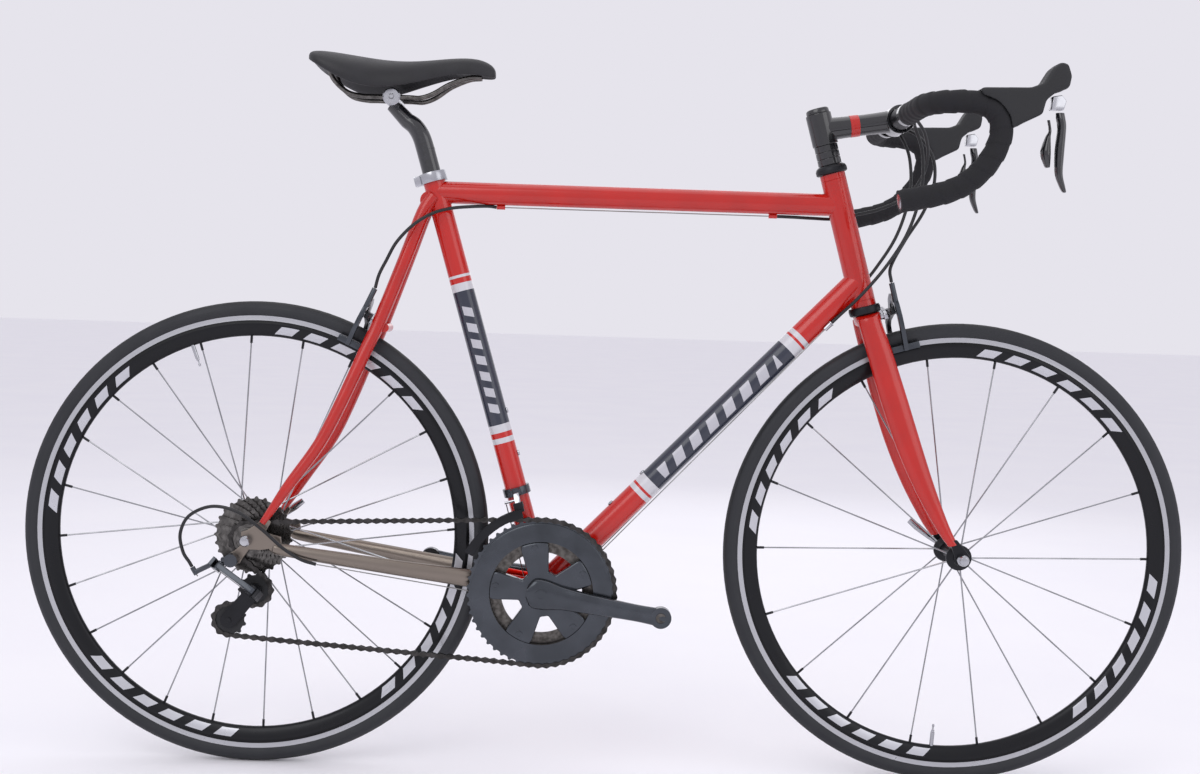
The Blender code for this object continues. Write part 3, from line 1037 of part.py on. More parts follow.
# ---- brakes ----
FRONT_BRAKE = frame_matrix(on_head(0.3505), Y_AXIS, HEAD_DIR)
REAR_BRAKE = frame_matrix(BRIDGE, Y_AXIS, Vector((0.43, 0, 0.903)))
FRONT_BRAKE_REACH_AHEAD = 0.0240
REAR_BRAKE_REACH_BACK = 0.0190
FRONT_PAD_DROP = 0.0515
REAR_PAD_DROP = 0.0420
SIDE_PIVOT = (0.0140, 0.0060)
PLATE_THICK = 0.0060
ARM_THICK = 0.0062
PAD_GAP = 0.0016


def brake_planes(start):
    """Middles of the fixed plate, the anchor arm and the adjuster arm, from the caliper's origin."""
    fixed = start + PLATE_THICK / 2
    anchor = start + PLATE_THICK + GAP * 3 + ARM_THICK / 2
    return fixed, anchor, anchor + ARM_THICK + GAP * 3


def stroke(points, widths):
    """The outline of a flat arm that follows points with the given widths."""
    left, right = [], []
    for i, (x, y) in enumerate(points):
        ahead = points[min(i + 1, len(points) - 1)]
        behind = points[max(i - 1, 0)]
        dx, dy = ahead[0] - behind[0], ahead[1] - behind[1]
        size = math.hypot(dx, dy)
        nx, ny = -dy / size * widths[i] / 2, dx / size * widths[i] / 2
        left.append((x + nx, y + ny))
        right.append((x - nx, y - ny))
    return left + right[::-1]


def local_rod(matrix, u, v, start, end, radius, sides=10):
    """A rod across the caliper's planes at a local place."""
    return rod(matrix @ Vector((u, v, start)), matrix @ Vector((u, v, end)), radius, sides)


def brake_mount(matrix, side, start):
    """What holds a caliper: its bolt through the fork or bridge, the pivot plate and two pivot pins."""
    fixed, anchor, adjuster = (side * plane for plane in brake_planes(start))
    outer = adjuster + side * ARM_THICK / 2
    u, v = SIDE_PIVOT
    shapes = [local_rod(matrix, 0, 0, side * 0.0030, fixed, 0.0055, 12)]
    outline = stroke([(-0.0060, -0.0026), (0.0, 0.0), (u, v), (u + 0.0055, v + 0.0024)], [0.008, 0.0130, 0.0130, 0.008])
    shapes.append(plate([outline], PLATE_THICK, matrix @ Matrix.Translation((0, 0, fixed))))
    shapes.append(local_rod(matrix, 0, 0, fixed, outer, 0.0030))
    shapes.append(local_rod(matrix, 0, 0, outer - side * 0.0040, outer + side * 0.0010, 0.0050, 6))
    shapes.append(local_rod(matrix, u, v, fixed, outer + side * 0.0030, 0.0025))
    shapes.append(local_rod(matrix, u, v, outer + side * GAP * 2, outer + side * 0.0030, 0.0045, 6))
    return shapes


def wire_ends(matrix, side, start):
    """Ends of the brake wire's straight run, from the adjuster's top to the anchor bolt."""
    fixed, anchor, adjuster = (side * plane for plane in brake_planes(start))
    return matrix @ Vector((-0.0280, 0.0450, adjuster)), matrix @ Vector((-0.0250, 0.0108, anchor + side * 0.0010))


def make_caliper(matrix, side, start, drop, name, angle):
    """The two arms of a dual-pivot caliper with their pads."""
    fixed, anchor, adjuster = (side * plane for plane in brake_planes(start))
    middle = side * angle
    lower = [(-0.0290, -0.0220), (-0.0235, 0.0060 - drop), (-0.0205, -drop - 0.0030)]
    points = [SIDE_PIVOT, (0.0060, 0.0170), (-0.0080, 0.0245), (-0.0200, 0.0220), (-0.0285, 0.0120), (-0.0310, -0.0040)]
    widths = [0.0110, 0.0105, 0.0100, 0.0110, 0.0100, 0.0090, 0.0085, 0.0080, 0.0080]
    arm = plate([stroke(points + lower, widths)], ARM_THICK, matrix @ Matrix.Translation((0, 0, adjuster)))
    half = side * ARM_THICK / 2
    u, v = SIDE_PIVOT
    boss_shape = local_rod(matrix, u, v, adjuster - half, adjuster + half, 0.0064, 12)
    top, bottom = wire_ends(matrix, side, start)
    adjust = rod(matrix @ Vector((-0.0265, 0.0160, adjuster)), matrix @ Vector((-0.0280, 0.0440, adjuster)), 0.0040, 10)
    pad = box((-(RIM_WIDTH / 2 + PAD_GAP + 0.0036), -drop, middle), (0.0072, 0.0090, 0.0400), matrix)
    arm = union(arm, boss_shape, adjust, pad)
    wire = (bottom - top).normalized()
    arm = cut(arm, local_rod(matrix, u, v, adjuster - half * 3, adjuster + half * 3, 0.0025 + GAP),
              rod(top - wire * 0.01, bottom + wire * 0.001, 0.0014, 8))
    finish(arm, name + "_brake_adjuster_arm", SILVER, matrix @ Vector((u, v, adjuster)))
    points = [(-0.0280, 0.0048), (-0.0120, 0.0015), (0.0, -0.0005), (0.0140, -0.0066), (0.0255, -0.0145), (0.0300, -0.0260),
              (0.0245, 0.0060 - drop), (0.0205, -drop - 0.0030)]
    widths = [0.0085, 0.0085, 0.0120, 0.0085, 0.0090, 0.0085, 0.0080, 0.0080]
    arm = plate([stroke(points, widths)], ARM_THICK, matrix @ Matrix.Translation((0, 0, anchor)))
    pad = box(((RIM_WIDTH / 2 + PAD_GAP + 0.0036), -drop, middle), (0.0072, 0.0090, 0.0400), matrix)
    clamp = local_rod(matrix, -0.0250, 0.0048, anchor - half, anchor + half, 0.0048, 8)
    arm = cut(union(arm, pad, clamp), local_rod(matrix, 0, 0, anchor - half * 3, anchor + half * 3, 0.0030 + GAP))
    finish(arm, name + "_brake_anchor_arm", BLACK, matrix @ Vector((0, 0, anchor)))


# ---- cables ----
HOUSING = 0.0024
WIRE = 0.0008


def make_cable(name, runs):
    """A whole cable: runs of (points, radius), stepping from housing to bare wire."""
    points, radii = [], []
    for run, radius in runs:
        points += [Vector(p) for p in run]
        radii += [radius] * len(run)
    finish(tube(points, HOUSING, 6, radii), name, RUBBER)


def ahead_of_bar(x, y, z):
    """A point given from the handlebar clamp's centre."""
    return BAR_CENTRE + Vector((x, y, z))


def shift_front_run(side):
    """A shift housing from the bar tape's end to its stop on the down tube."""
    stop = down_stop(side) + DOWN_DIR * 0.0076
    return smooth_path([ahead_of_bar(0.0103, 0.0610 * side, -0.0103), ahead_of_bar(0.0150, 0.0470 * side, -0.0150),
                        (0.4280, 0.0400 * side, 0.9120), (0.4300, 0.0365 * side, 0.8600), (0.4140, 0.0355 * side, 0.8000),
                        (0.3850, 0.0350 * side, 0.7500), (0.3520, 0.0300 * side, 0.7080),
                        stop + DOWN_DIR * 0.0180 + Y_AXIS * 0.0015 * side, stop], 2)


def make_cables():
    """Both brake cables and both shift cables."""
    top, bottom = wire_ends(FRONT_BRAKE, 1, FRONT_BRAKE_REACH_AHEAD)
    lift = (top - bottom).normalized()
    housing = smooth_path([ahead_of_bar(0.0146, 0.0610, -0.0013), ahead_of_bar(0.0178, 0.0450, -0.0042),
                           (0.4400, 0.0280, 0.9400), (0.4555, 0.0080, 0.9080), (0.4535, -0.0100, 0.8680),
                           (0.4370, -0.0215, 0.8280), (0.4120, -0.0270, 0.7880), top + lift * 0.0220, top], 2)
    make_cable("front_brake_cable", [(housing, HOUSING), ([top - lift * 0.0004, bottom], WIRE)])
    top, bottom = wire_ends(REAR_BRAKE, -1, REAR_BRAKE_REACH_BACK)
    lift = (top - bottom).normalized()
    front = smooth_path([ahead_of_bar(0.0146, -0.0610, -0.0013), ahead_of_bar(0.0178, -0.0450, -0.0042),
                         (0.4340, -0.0240, 0.9400), (0.4445, -0.0040, 0.9120), (0.4400, 0.0100, 0.8800),
                         (0.4200, 0.0195, 0.8530), (0.3850, 0.0245, 0.8350), (0.3500, 0.0250, 0.8255),
                         (0.3180, 0.0235, CABLE_Z + 0.0007), (0.2850, 0.0135, CABLE_Z), (0.2580, 0.0035, CABLE_Z),
                         (0.2400, 0, CABLE_Z), (0.2316, 0, CABLE_Z)], 2)
    back = smooth_path([(-0.1728, 0, CABLE_Z), (-0.1850, -0.0020, 0.8185), (-0.2100, -0.0105, 0.8165),
                        (-0.2360, -0.0225, 0.8125), (-0.2620, -0.0290, 0.8040), (-0.2880, -0.0315, 0.7870),
                        (-0.3110, -0.0315, 0.7620), (-0.3250, -0.0300, 0.7360), top + lift * 0.0200, top], 2)
    wire = [(0.2312, 0, CABLE_Z), (-0.1724, 0, CABLE_Z)]
    make_cable("rear_brake_cable", [(front, HOUSING), (wire, WIRE), (back, HOUSING),
                                    ([top - lift * 0.0004, bottom], WIRE)])
    start = down_stop(-1) + DOWN_DIR * 0.0072
    round_bb = [BB + Vector((0.0224 * math.cos(math.radians(a)), -0.0150, 0.0224 * math.sin(math.radians(a))))
                for a in (-43.2, -62, -81)]
    away = (SHIFT_STOP - UNDER_BB).normalized()
    loop = smooth_path([SHIFT_STOP + away * 0.0006, (-0.4300, -0.0735, 0.3120), (-0.4550, -0.0785, 0.3290),
                        (-0.4860, -0.0800, 0.3560), (-0.5200, -0.0785, 0.3780), (-0.5560, -0.0740, 0.3830),
                        (-0.5880, -0.0690, 0.3680), (-0.6010, -0.0650, 0.3420), (-0.5975, -0.0625, 0.3160),
                        RD_BARREL - BARREL_AIM * 0.0150, RD_BARREL - BARREL_AIM * 0.0065], 2)
    tail = [RD_BARREL - BARREL_AIM * 0.0061, RD_BARREL + BARREL_AIM * 0.0090]
    make_cable("rear_shift_cable", [(shift_front_run(-1), HOUSING),
                                    ([start, *round_bb, UNDER_BB, SHIFT_STOP + away * 0.0002], WIRE),
                                    (loop, HOUSING), (tail, WIRE)])
    start = down_stop(1) + DOWN_DIR * 0.0072
    round_bb = [BB + Vector((0.0226 * math.cos(math.radians(a)), y, 0.0226 * math.sin(math.radians(a))))
                for a, y in ((-43.2, 0.0150), (-65, 0.0130), (-90, 0.0105), (-115, 0.0080), (-140, 0.0060), (-165, 0.0035))]
    foot = FD_PIVOT + FD_LINK / 2 - FD_AHEAD * 0.0170 - Y_AXIS * 0.0008 - SEAT_DIR * 0.0024
    make_cable("front_shift_cable", [(shift_front_run(1), HOUSING), ([start, *round_bb, foot], WIRE)])


make_main_tubes()
make_stays()
make_seat()
make_headset_and_fork()
make_stem_and_bar()
make_levers()
for wheel_hub, wheel in ((FRONT_HUB, "front"), (REAR_HUB, "rear")):
    make_tyre_and_rim(wheel_hub, wheel)
make_hubs()
make_axles()
make_chain()
make_cassette()
make_crankset()
make_rear_derailleur()
make_front_derailleur()
make_caliper(FRONT_BRAKE, 1, FRONT_BRAKE_REACH_AHEAD, FRONT_PAD_DROP, "front", 0.0425)
make_caliper(REAR_BRAKE, -1, REAR_BRAKE_REACH_BACK, REAR_PAD_DROP, "rear", 0.0330)
make_cables()
CUTTERS.hide_render = True
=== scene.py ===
"""The looks of a drop-bar road bicycle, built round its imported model.

Metres, +Z up, +X towards the front wheel, +Y to the rider's left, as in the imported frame. Each
sub-assembly is a class with its own sizes, and main() builds them in order. Positions come from the
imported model's joints and boxes; sections and routes repeat the solid model's, with finer detail.
"""
import json
import logging
import math
from dataclasses import dataclass
from enum import Enum

import bpy
from mathutils import Matrix, Vector


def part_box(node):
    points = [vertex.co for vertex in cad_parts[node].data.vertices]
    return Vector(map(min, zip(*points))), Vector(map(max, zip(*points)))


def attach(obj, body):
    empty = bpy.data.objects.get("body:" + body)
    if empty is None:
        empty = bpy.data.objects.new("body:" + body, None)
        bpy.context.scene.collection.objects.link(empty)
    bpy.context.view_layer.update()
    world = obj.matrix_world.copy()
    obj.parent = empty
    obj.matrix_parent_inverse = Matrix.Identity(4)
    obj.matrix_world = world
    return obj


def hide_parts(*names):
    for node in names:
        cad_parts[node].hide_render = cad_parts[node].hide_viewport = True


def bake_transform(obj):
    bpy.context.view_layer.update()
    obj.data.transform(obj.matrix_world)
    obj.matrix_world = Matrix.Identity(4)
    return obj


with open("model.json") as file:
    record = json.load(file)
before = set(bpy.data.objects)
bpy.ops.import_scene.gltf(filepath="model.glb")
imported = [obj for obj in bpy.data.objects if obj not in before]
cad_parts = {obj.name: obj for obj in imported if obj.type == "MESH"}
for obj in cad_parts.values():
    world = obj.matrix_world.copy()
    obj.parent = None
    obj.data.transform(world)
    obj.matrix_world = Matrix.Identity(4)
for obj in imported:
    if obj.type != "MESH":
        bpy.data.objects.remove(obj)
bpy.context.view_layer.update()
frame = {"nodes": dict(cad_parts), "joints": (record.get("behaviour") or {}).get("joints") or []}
LOG = logging.getLogger("bicycle")
MM = 0.001
SIDES = ((-1, "right"), (1, "left"))
CHAIN_PITCH = 12.7 * MM
CABLE_STOP_ALONG = 0.560  # from the bottom bracket along the down tube
CRANK_LENGTH_MM = 172.5
STEM_LENGTH = 0.110
STEM_RISE = math.radians(7)
STEM_HEIGHT = 0.631  # of the clamp's middle along the steering axis
Y_AXIS = Vector((0, 1, 0))
Ring = list[Vector]
Outline = list[tuple[float, float]]
Piece = bpy.types.Object


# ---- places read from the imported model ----
def joint_place(name: str) -> tuple[Vector, Vector]:
    """A joint's point and axis.

    Args:
        name: The joint's name in the record.

    Returns:
        Its position (the origin for a slide) and its unit axis.
    """
    joint = next(j for j in frame["joints"] if j["name"] == name)
    return Vector(joint.get("pos_m", (0, 0, 0))), Vector(joint["axis"]).normalized()


FRONT_HUB = joint_place("front_wheel_spin")[0]
REAR_HUB = joint_place("rear_wheel_spin")[0]
BB = joint_place("crank_spin")[0]
HEAD_FOOT, HEAD_DIR = joint_place("steering")
HEAD_FRONT = Vector((HEAD_DIR.z, 0, -HEAD_DIR.x))
SEAT_DIR = joint_place("seatpost_height")[1]
SEAT_AHEAD = Vector((SEAT_DIR.z, 0, -SEAT_DIR.x))
GUIDE = joint_place("guide_pulley_spin")[0]
TENSION = joint_place("tension_pulley_spin")[0]
TOP_TUBE_Z = sum(c.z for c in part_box("top_tube")) / 2 + 1.7 * MM  # the cable stops hang below the tube


def on_head(along: float, ahead: float = 0.0, side: float = 0.0) -> Vector:
    """A point by its height along the steering axis, its distance ahead of it and its side offset."""
    return HEAD_FOOT + HEAD_DIR * along + HEAD_FRONT * ahead + Y_AXIS * side


def on_seat(along: float, ahead: float = 0.0, side: float = 0.0) -> Vector:
    """A point by its distance from the bottom bracket along the seat tube."""
    return BB + SEAT_DIR * along + SEAT_AHEAD * ahead + Y_AXIS * side


DOWN_TOP = on_head(0.4080)
DOWN_DIR = (DOWN_TOP - BB).normalized()
DOWN_UP = Vector((-DOWN_DIR.z, 0, DOWN_DIR.x))
BAR_CENTRE = on_head(STEM_HEIGHT - STEM_LENGTH * math.sin(STEM_RISE), STEM_LENGTH * math.cos(STEM_RISE))
REAR_BRIDGE = Vector((-0.3270, 0, 0.6400))  # the rear brake's bolt goes through it
LIT_POINT = Vector((0, 0, 0.5))  # what the lights face
TOP_AT_SEAT = on_seat((TOP_TUBE_Z - BB.z) / SEAT_DIR.z)
TOP_AT_HEAD = on_head((TOP_TUBE_Z - HEAD_FOOT.z) / HEAD_DIR.z)


def down_tube_stop(side: int) -> Vector:
    """The middle of a shift cable's stop under the down tube, on the left (1) or right (-1)."""
    return BB + DOWN_DIR * CABLE_STOP_ALONG - DOWN_UP * 15.5 * MM + Y_AXIS * (15 * MM * side)


# ---- finishes ----
def linear(hex_colour: str) -> tuple[float, float, float, float]:
    """An sRGB hex colour as linear RGBA.

    Args:
        hex_colour: Six hex digits.

    Returns:
        Linear red, green, blue and an alpha of 1.
    """
    parts = [int(hex_colour[i:i + 2], 16) / 255 for i in (0, 2, 4)]
    return (*[c / 12.92 if c <= 0.04045 else ((c + 0.055) / 1.055) ** 2.4 for c in parts], 1.0)


def add(tree: bpy.types.NodeTree, kind: str, inputs: dict | None = None,
        **settings: object) -> bpy.types.Node:
    """Adds a shader node with its settings and its links or values.

    Args:
        tree: The material's node tree.
        kind: The node's type.
        inputs: Input names or numbers, each with a value or an output socket.
        settings: Attributes of the node.

    Returns:
        The new node.
    """
    node = tree.nodes.new(kind)
    for key, value in settings.items():
        setattr(node, key, value)
    for key, value in (inputs or {}).items():
        if isinstance(value, bpy.types.NodeSocket):
            tree.links.new(value, node.inputs[key])
        else:
            node.inputs[key].default_value = value
    return node


def ramp(tree: bpy.types.NodeTree, value: bpy.types.NodeSocket, stops: list[tuple[float, str]],
         hard: bool = True) -> bpy.types.NodeSocket:
    """A colour ramp.

    Args:
        tree: The material's node tree.
        value: What drives it, 0 to 1.
        stops: Positions with hex colours, in order.
        hard: True for flat bands, False for a blend.

    Returns:
        The ramp's colour output.
    """
    node = add(tree, "ShaderNodeValToRGB", {"Fac": value})
    node.color_ramp.interpolation = "CONSTANT" if hard else "LINEAR"
    elements = node.color_ramp.elements
    elements.remove(elements[1])
    elements[0].position, elements[0].color = stops[0][0], linear(stops[0][1])
    for place, colour in stops[1:]:
        elements.new(place).color = linear(colour)
    return node.outputs["Color"]


def along_axis(tree: bpy.types.NodeTree, origin: Vector, axis: Vector) -> bpy.types.NodeSocket:
    """How far a surface point lies along an axis, from Object coordinates.

    Args:
        tree: The material's node tree.
        origin: Where distances start.
        axis: A unit vector.

    Returns:
        The distance in metres.
    """
    place = add(tree, "ShaderNodeTexCoord").outputs["Object"]
    shifted = add(tree, "ShaderNodeVectorMath", {0: place, 1: tuple(origin)}, operation="SUBTRACT")
    dot = add(tree, "ShaderNodeVectorMath", {0: shifted.outputs[0], 1: tuple(axis)}, operation="DOT_PRODUCT")
    return dot.outputs["Value"]


def painted_over(tree: bpy.types.NodeTree, colour: bpy.types.NodeSocket, masks: list[bpy.types.NodeSocket],
                 paint: str) -> bpy.types.NodeSocket:
    """Paints a colour over another where every mask is 1.

    Args:
        tree: The material's node tree.
        colour: The colour underneath.
        masks: Outputs that are 0 or 1.
        paint: The hex colour on top.

    Returns:
        The mixed colour.
    """
    both = masks[0]
    for mask in masks[1:]:
        both = add(tree, "ShaderNodeMath", {0: both, 1: mask}, operation="MULTIPLY").outputs[0]
    mixed = add(tree, "ShaderNodeMix", {"Factor": both, 6: colour, 7: linear(paint)}, data_type="RGBA")
    return mixed.outputs[2]


@dataclass(frozen=True)
class Finish:
    """A surface made one way all over, with its grain and slight unevenness.

    Attributes:
        name: The material's own name.
        colour: Main sRGB colour.
        second: Colour that it drifts to in uneven patches.
        roughness: Mean roughness.
        metallic: 1 for bare or anodised metal.
        coat: Weight of a clear lacquer over it.
        grain_mm: Spacing of the fine surface grain.
        grain_depth_mm: Height of that grain.
        drift_mm: Size of the uneven patches.
        spread: How far roughness wanders in the patches.
    """

    name: str
    colour: str
    second: str
    roughness: float
    metallic: float = 0.0
    coat: float = 0.0
    grain_mm: float = 1.0
    grain_depth_mm: float = 0.004
    drift_mm: float = 40.0
    spread: float = 0.06

    def make(self) -> bpy.types.Material:
        """Makes the material, or finds it if it was made before.

        Returns:
            The material.
        """
        if self.name in bpy.data.materials:
            return bpy.data.materials[self.name]
        material = bpy.data.materials.new(self.name)
        material.use_nodes = True
        self.fill(material.node_tree, material.node_tree.nodes["Principled BSDF"])
        return material

    def fill(self, tree: bpy.types.NodeTree, shader: bpy.types.Node) -> None:
        """Links the surface's colour, roughness and grain to the shader.

        Args:
            tree: The material's node tree.
            shader: Its Principled shader.
        """
        place = add(tree, "ShaderNodeTexCoord").outputs["Object"]
        patches = add(tree, "ShaderNodeTexNoise", {"Vector": place,
                                                   "Scale": 1 / (self.drift_mm * MM), "Detail": 3.0})
        tree.links.new(self.tint(tree, patches.outputs["Fac"]), shader.inputs["Base Color"])
        rough = add(tree, "ShaderNodeMapRange", {"Value": patches.outputs["Fac"],
                                                 "From Min": 0.3, "From Max": 0.7,
                                                 "To Min": max(0.02, self.roughness - self.spread),
                                                 "To Max": self.roughness + self.spread})
        tree.links.new(rough.outputs["Result"], shader.inputs["Roughness"])
        grain = add(tree, "ShaderNodeTexNoise", {"Vector": place,
                                                 "Scale": 1 / (self.grain_mm * MM), "Detail": 2.0})
        bump = add(tree, "ShaderNodeBump", {"Height": grain.outputs["Fac"],
                                            "Distance": self.grain_depth_mm * MM, "Strength": 1.0})
        tree.links.new(bump.outputs["Normal"], shader.inputs["Normal"])
        shader.inputs["Metallic"].default_value = self.metallic
        shader.inputs["Coat Weight"].default_value = self.coat
        shader.inputs["Coat Roughness"].default_value = 0.04

    def tint(self, tree: bpy.types.NodeTree, patches: bpy.types.NodeSocket) -> bpy.types.NodeSocket:
        """The base colour, drifting between the finish's two colours."""
        return ramp(tree, patches, [(0.35, self.colour), (0.65, self.second)], hard=False)


@dataclass(frozen=True)
class Bars:
    """A row of slanted bars in a painted panel, where a frame carries its lettering.

    Attributes:
        start: Where the row starts along the tube.
        stop: Where it ends.
        pitch: Distance from bar to bar.
        half: Half a bar's height across the tube.
        colour: The bars' hex colour.
        lean: How far a bar leans for each unit of height.
        filled: Share of the pitch that a bar takes.
    """

    start: float
    stop: float
    pitch: float
    half: float
    colour: str
    lean: float = 0.45
    filled: float = 0.55


@dataclass(frozen=True)
class RimBlocks:
    """Groups of slanted blocks round a rim's side, where a rim carries its decals.

    Attributes:
        inner: The blocks' innermost radius.
        outer: Their outermost radius.
        count: How many would fill the whole rim.
        filled: Share of the spacing that a block takes.
        colour: Their hex colour.
        lean: Turn in radians for each metre of radius.
        groups: How many groups there are.
        group_share: Share of the rim that the groups take.
    """

    inner: float
    outer: float
    count: int
    filled: float
    colour: str
    lean: float = 3.0
    groups: int = 4
    group_share: float = 0.52


@dataclass(frozen=True)
class BandedFinish(Finish):
    """A finish with painted bands at distances along an axis.

    Attributes:
        origin: Where distances start.
        axis: Which way they run.
        bands: (distance in metres, hex colour) from the start on; "" is the finish's own colour.
        bars: A row of bars in one of the bands, or None.
    """

    origin: tuple = (0, 0, 0)
    axis: tuple = (1, 0, 0)
    bands: tuple = ()
    bars: Bars | None = None

    def tint(self, tree: bpy.types.NodeTree, patches: bpy.types.NodeSocket) -> bpy.types.NodeSocket:
        """The bands' colours over the plain finish, with the row of slanted bars.

        Args:
            tree: The material's node tree.
            patches: The uneven patches, which a painted tube doesn't show.

        Returns:
            The base colour.
        """
        share = along_axis(tree, Vector(self.origin), Vector(self.axis))
        colour = ramp(tree, share, [(place, paint or self.colour) for place, paint in self.bands])
        if not self.bars:
            return colour
        bars, axis = self.bars, Vector(self.axis)
        height = along_axis(tree, Vector(self.origin), Vector((-axis.z, 0, axis.x)))
        slant = add(tree, "ShaderNodeMath", {0: height, 1: bars.lean}, operation="MULTIPLY").outputs[0]
        leaning = add(tree, "ShaderNodeMath", {0: share, 1: slant}, operation="SUBTRACT").outputs[0]
        phase = add(tree, "ShaderNodeMath", {0: leaning, 1: bars.pitch}, operation="DIVIDE").outputs[0]
        saw = add(tree, "ShaderNodeMath", {0: phase}, operation="FRACT").outputs[0]
        tall = add(tree, "ShaderNodeMath", {0: height}, operation="ABSOLUTE").outputs[0]
        masks = [add(tree, "ShaderNodeMath", {0: value, 1: limit}, operation=test).outputs[0]
                 for value, limit, test in ((saw, bars.filled, "LESS_THAN"),
                                            (tall, bars.half, "LESS_THAN"),
                                            (share, bars.start, "GREATER_THAN"),
                                            (share, bars.stop, "LESS_THAN"))]
        return painted_over(tree, colour, masks, bars.colour)


@dataclass(frozen=True)
class WheelFinish(Finish):
    """A finish whose bands lie at distances from a wheel's axle, with a row of blocks round it.

    Attributes:
        hub: The wheel's centre.
        bands: (radius in metres, hex colour) outwards.
        blocks: The blocks on the rim's side, or None.
    """

    hub: tuple = (0, 0, 0)
    bands: tuple = ()
    blocks: RimBlocks | None = None

    def tint(self, tree: bpy.types.NodeTree, patches: bpy.types.NodeSocket) -> bpy.types.NodeSocket:
        """Colours by distance from the axle and by angle round it.

        Args:
            tree: The material's node tree.
            patches: The uneven patches, which a rim or tyre doesn't show in its colour.

        Returns:
            The base colour.
        """
        place = add(tree, "ShaderNodeTexCoord").outputs["Object"]
        shifted = add(tree, "ShaderNodeVectorMath", {0: place, 1: self.hub}, operation="SUBTRACT")
        parts = add(tree, "ShaderNodeSeparateXYZ", {0: shifted.outputs[0]})
        flat = add(tree, "ShaderNodeCombineXYZ", {0: parts.outputs[0], 1: parts.outputs[2]})
        radius = add(tree, "ShaderNodeVectorMath", {0: flat.outputs[0]}, operation="LENGTH").outputs["Value"]
        colour = ramp(tree, radius, list(self.bands))
        if not self.blocks:
            return colour
        blocks = self.blocks
        angle = add(tree, "ShaderNodeMath", {0: parts.outputs[2], 1: parts.outputs[0]},
                    operation="ARCTAN2").outputs[0]
        slant = add(tree, "ShaderNodeMath", {0: radius, 1: blocks.lean}, operation="MULTIPLY").outputs[0]
        turned = add(tree, "ShaderNodeMath", {0: angle, 1: slant}, operation="ADD").outputs[0]
        masks = [add(tree, "ShaderNodeMath", {0: radius, 1: blocks.inner},
                     operation="GREATER_THAN").outputs[0], add(tree, "ShaderNodeMath",
                                                               {0: radius, 1: blocks.outer},
                                                               operation="LESS_THAN").outputs[0]]
        for count, share in ((blocks.count, blocks.filled), (blocks.groups, blocks.group_share)):
            scaled = add(tree, "ShaderNodeMath", {0: turned, 1: count / math.tau},
                         operation="MULTIPLY").outputs[0]
            saw = add(tree, "ShaderNodeMath", {0: scaled}, operation="FRACT").outputs[0]
            masks.append(add(tree, "ShaderNodeMath", {0: saw, 1: share}, operation="LESS_THAN").outputs[0])
        return painted_over(tree, colour, masks, blocks.colour)


SILVER_HEX, NAVY_HEX, RED_HEX, STRIPE_HEX = "c9c9cd", "262b3a", "bb1407", "b9b9bf"


def tube_enamel(name: str, axis: Vector, bands: tuple, bars: Bars) -> BandedFinish:
    """Two-pack red enamel with masked bands sprayed over it, all under one lacquer: even and wet-looking.

    Args:
        name: The material's name.
        axis: The tube's direction from the bottom bracket.
        bands: Where each colour starts along the tube.
        bars: The bars in the dark panel.

    Returns:
        The finish.
    """
    return BandedFinish(name, RED_HEX, RED_HEX, 0.22, coat=0.35, grain_mm=2.5, grain_depth_mm=0.0015,
                        spread=0.03, origin=tuple(BB), axis=tuple(axis), bands=bands, bars=bars)


# two-pack enamel under lacquer: an even colour with a wet, sharp gloss
ENAMEL = Finish("red_enamel", RED_HEX, "b21205", 0.22, coat=0.35, grain_mm=2.5,
                grain_depth_mm=0.0015, spread=0.03)
DOWN_ENAMEL = tube_enamel("down_tube_enamel", DOWN_DIR,
                          ((0, ""), (0.194, SILVER_HEX), (0.201, ""), (0.207, SILVER_HEX), (0.222, NAVY_HEX),
                           (0.494, SILVER_HEX), (0.508, ""), (0.514, SILVER_HEX), (0.521, "")),
                          Bars(0.240, 0.476, 0.0335, 0.0092, STRIPE_HEX))
SEAT_ENAMEL = tube_enamel("seat_tube_enamel", SEAT_DIR,
                          ((0, ""), (0.218, SILVER_HEX), (0.226, ""), (0.234, SILVER_HEX), (0.245, NAVY_HEX),
                           (0.4445, SILVER_HEX), (0.455, ""), (0.4615, SILVER_HEX), (0.467, "")),
                          Bars(0.262, 0.428, 0.0240, 0.0068, STRIPE_HEX))
# drawn titanium, brushed round: warm grey with a soft streak, and red enamel at the bracket shell
TITANIUM = BandedFinish("brushed_titanium", "8c8072", "978b7d", 0.33, metallic=1.0, grain_mm=0.8,
                        grain_depth_mm=0.006, origin=tuple(BB), axis=(-1, 0, 0),
                        bands=((0, RED_HEX), (0.052, "857c73")))
# aluminium, blasted and dyed black in the anodising bath: a dull metal sheen with a fine tooth
ANODISED = Finish("black_anodised_aluminium", "15161a", "1d1e22", 0.38, metallic=0.5, grain_mm=0.5,
                  grain_depth_mm=0.003)
# black paint under thick lacquer: a dark body with sharp highlights
GLOSS_BLACK = Finish("black_gloss_paint", "0e0f12", "131417", 0.2, coat=0.8, grain_mm=2.0,
                     grain_depth_mm=0.001)
# aluminium polished on a wheel: bright, with the faint haze of use
POLISHED = Finish("mirror_polished_aluminium", "c0c1c5", "adaeb3", 0.2, metallic=1.0, grain_mm=0.6,
                  grain_depth_mm=0.002)
# cold-forged aluminium, tumbled and lacquered in grey: smooth, dark and slightly wet
FORGED = Finish("lacquered_forged_aluminium", "3d4146", "484c52", 0.24, metallic=0.9, coat=0.35, grain_mm=0.9,
                grain_depth_mm=0.002)
# machined steel under a film of oil: brownish grey in small patches
STEEL = Finish("oiled_steel", "6a6763", "4a4744", 0.34, metallic=1.0, grain_mm=0.5, grain_depth_mm=0.006,
               drift_mm=6)
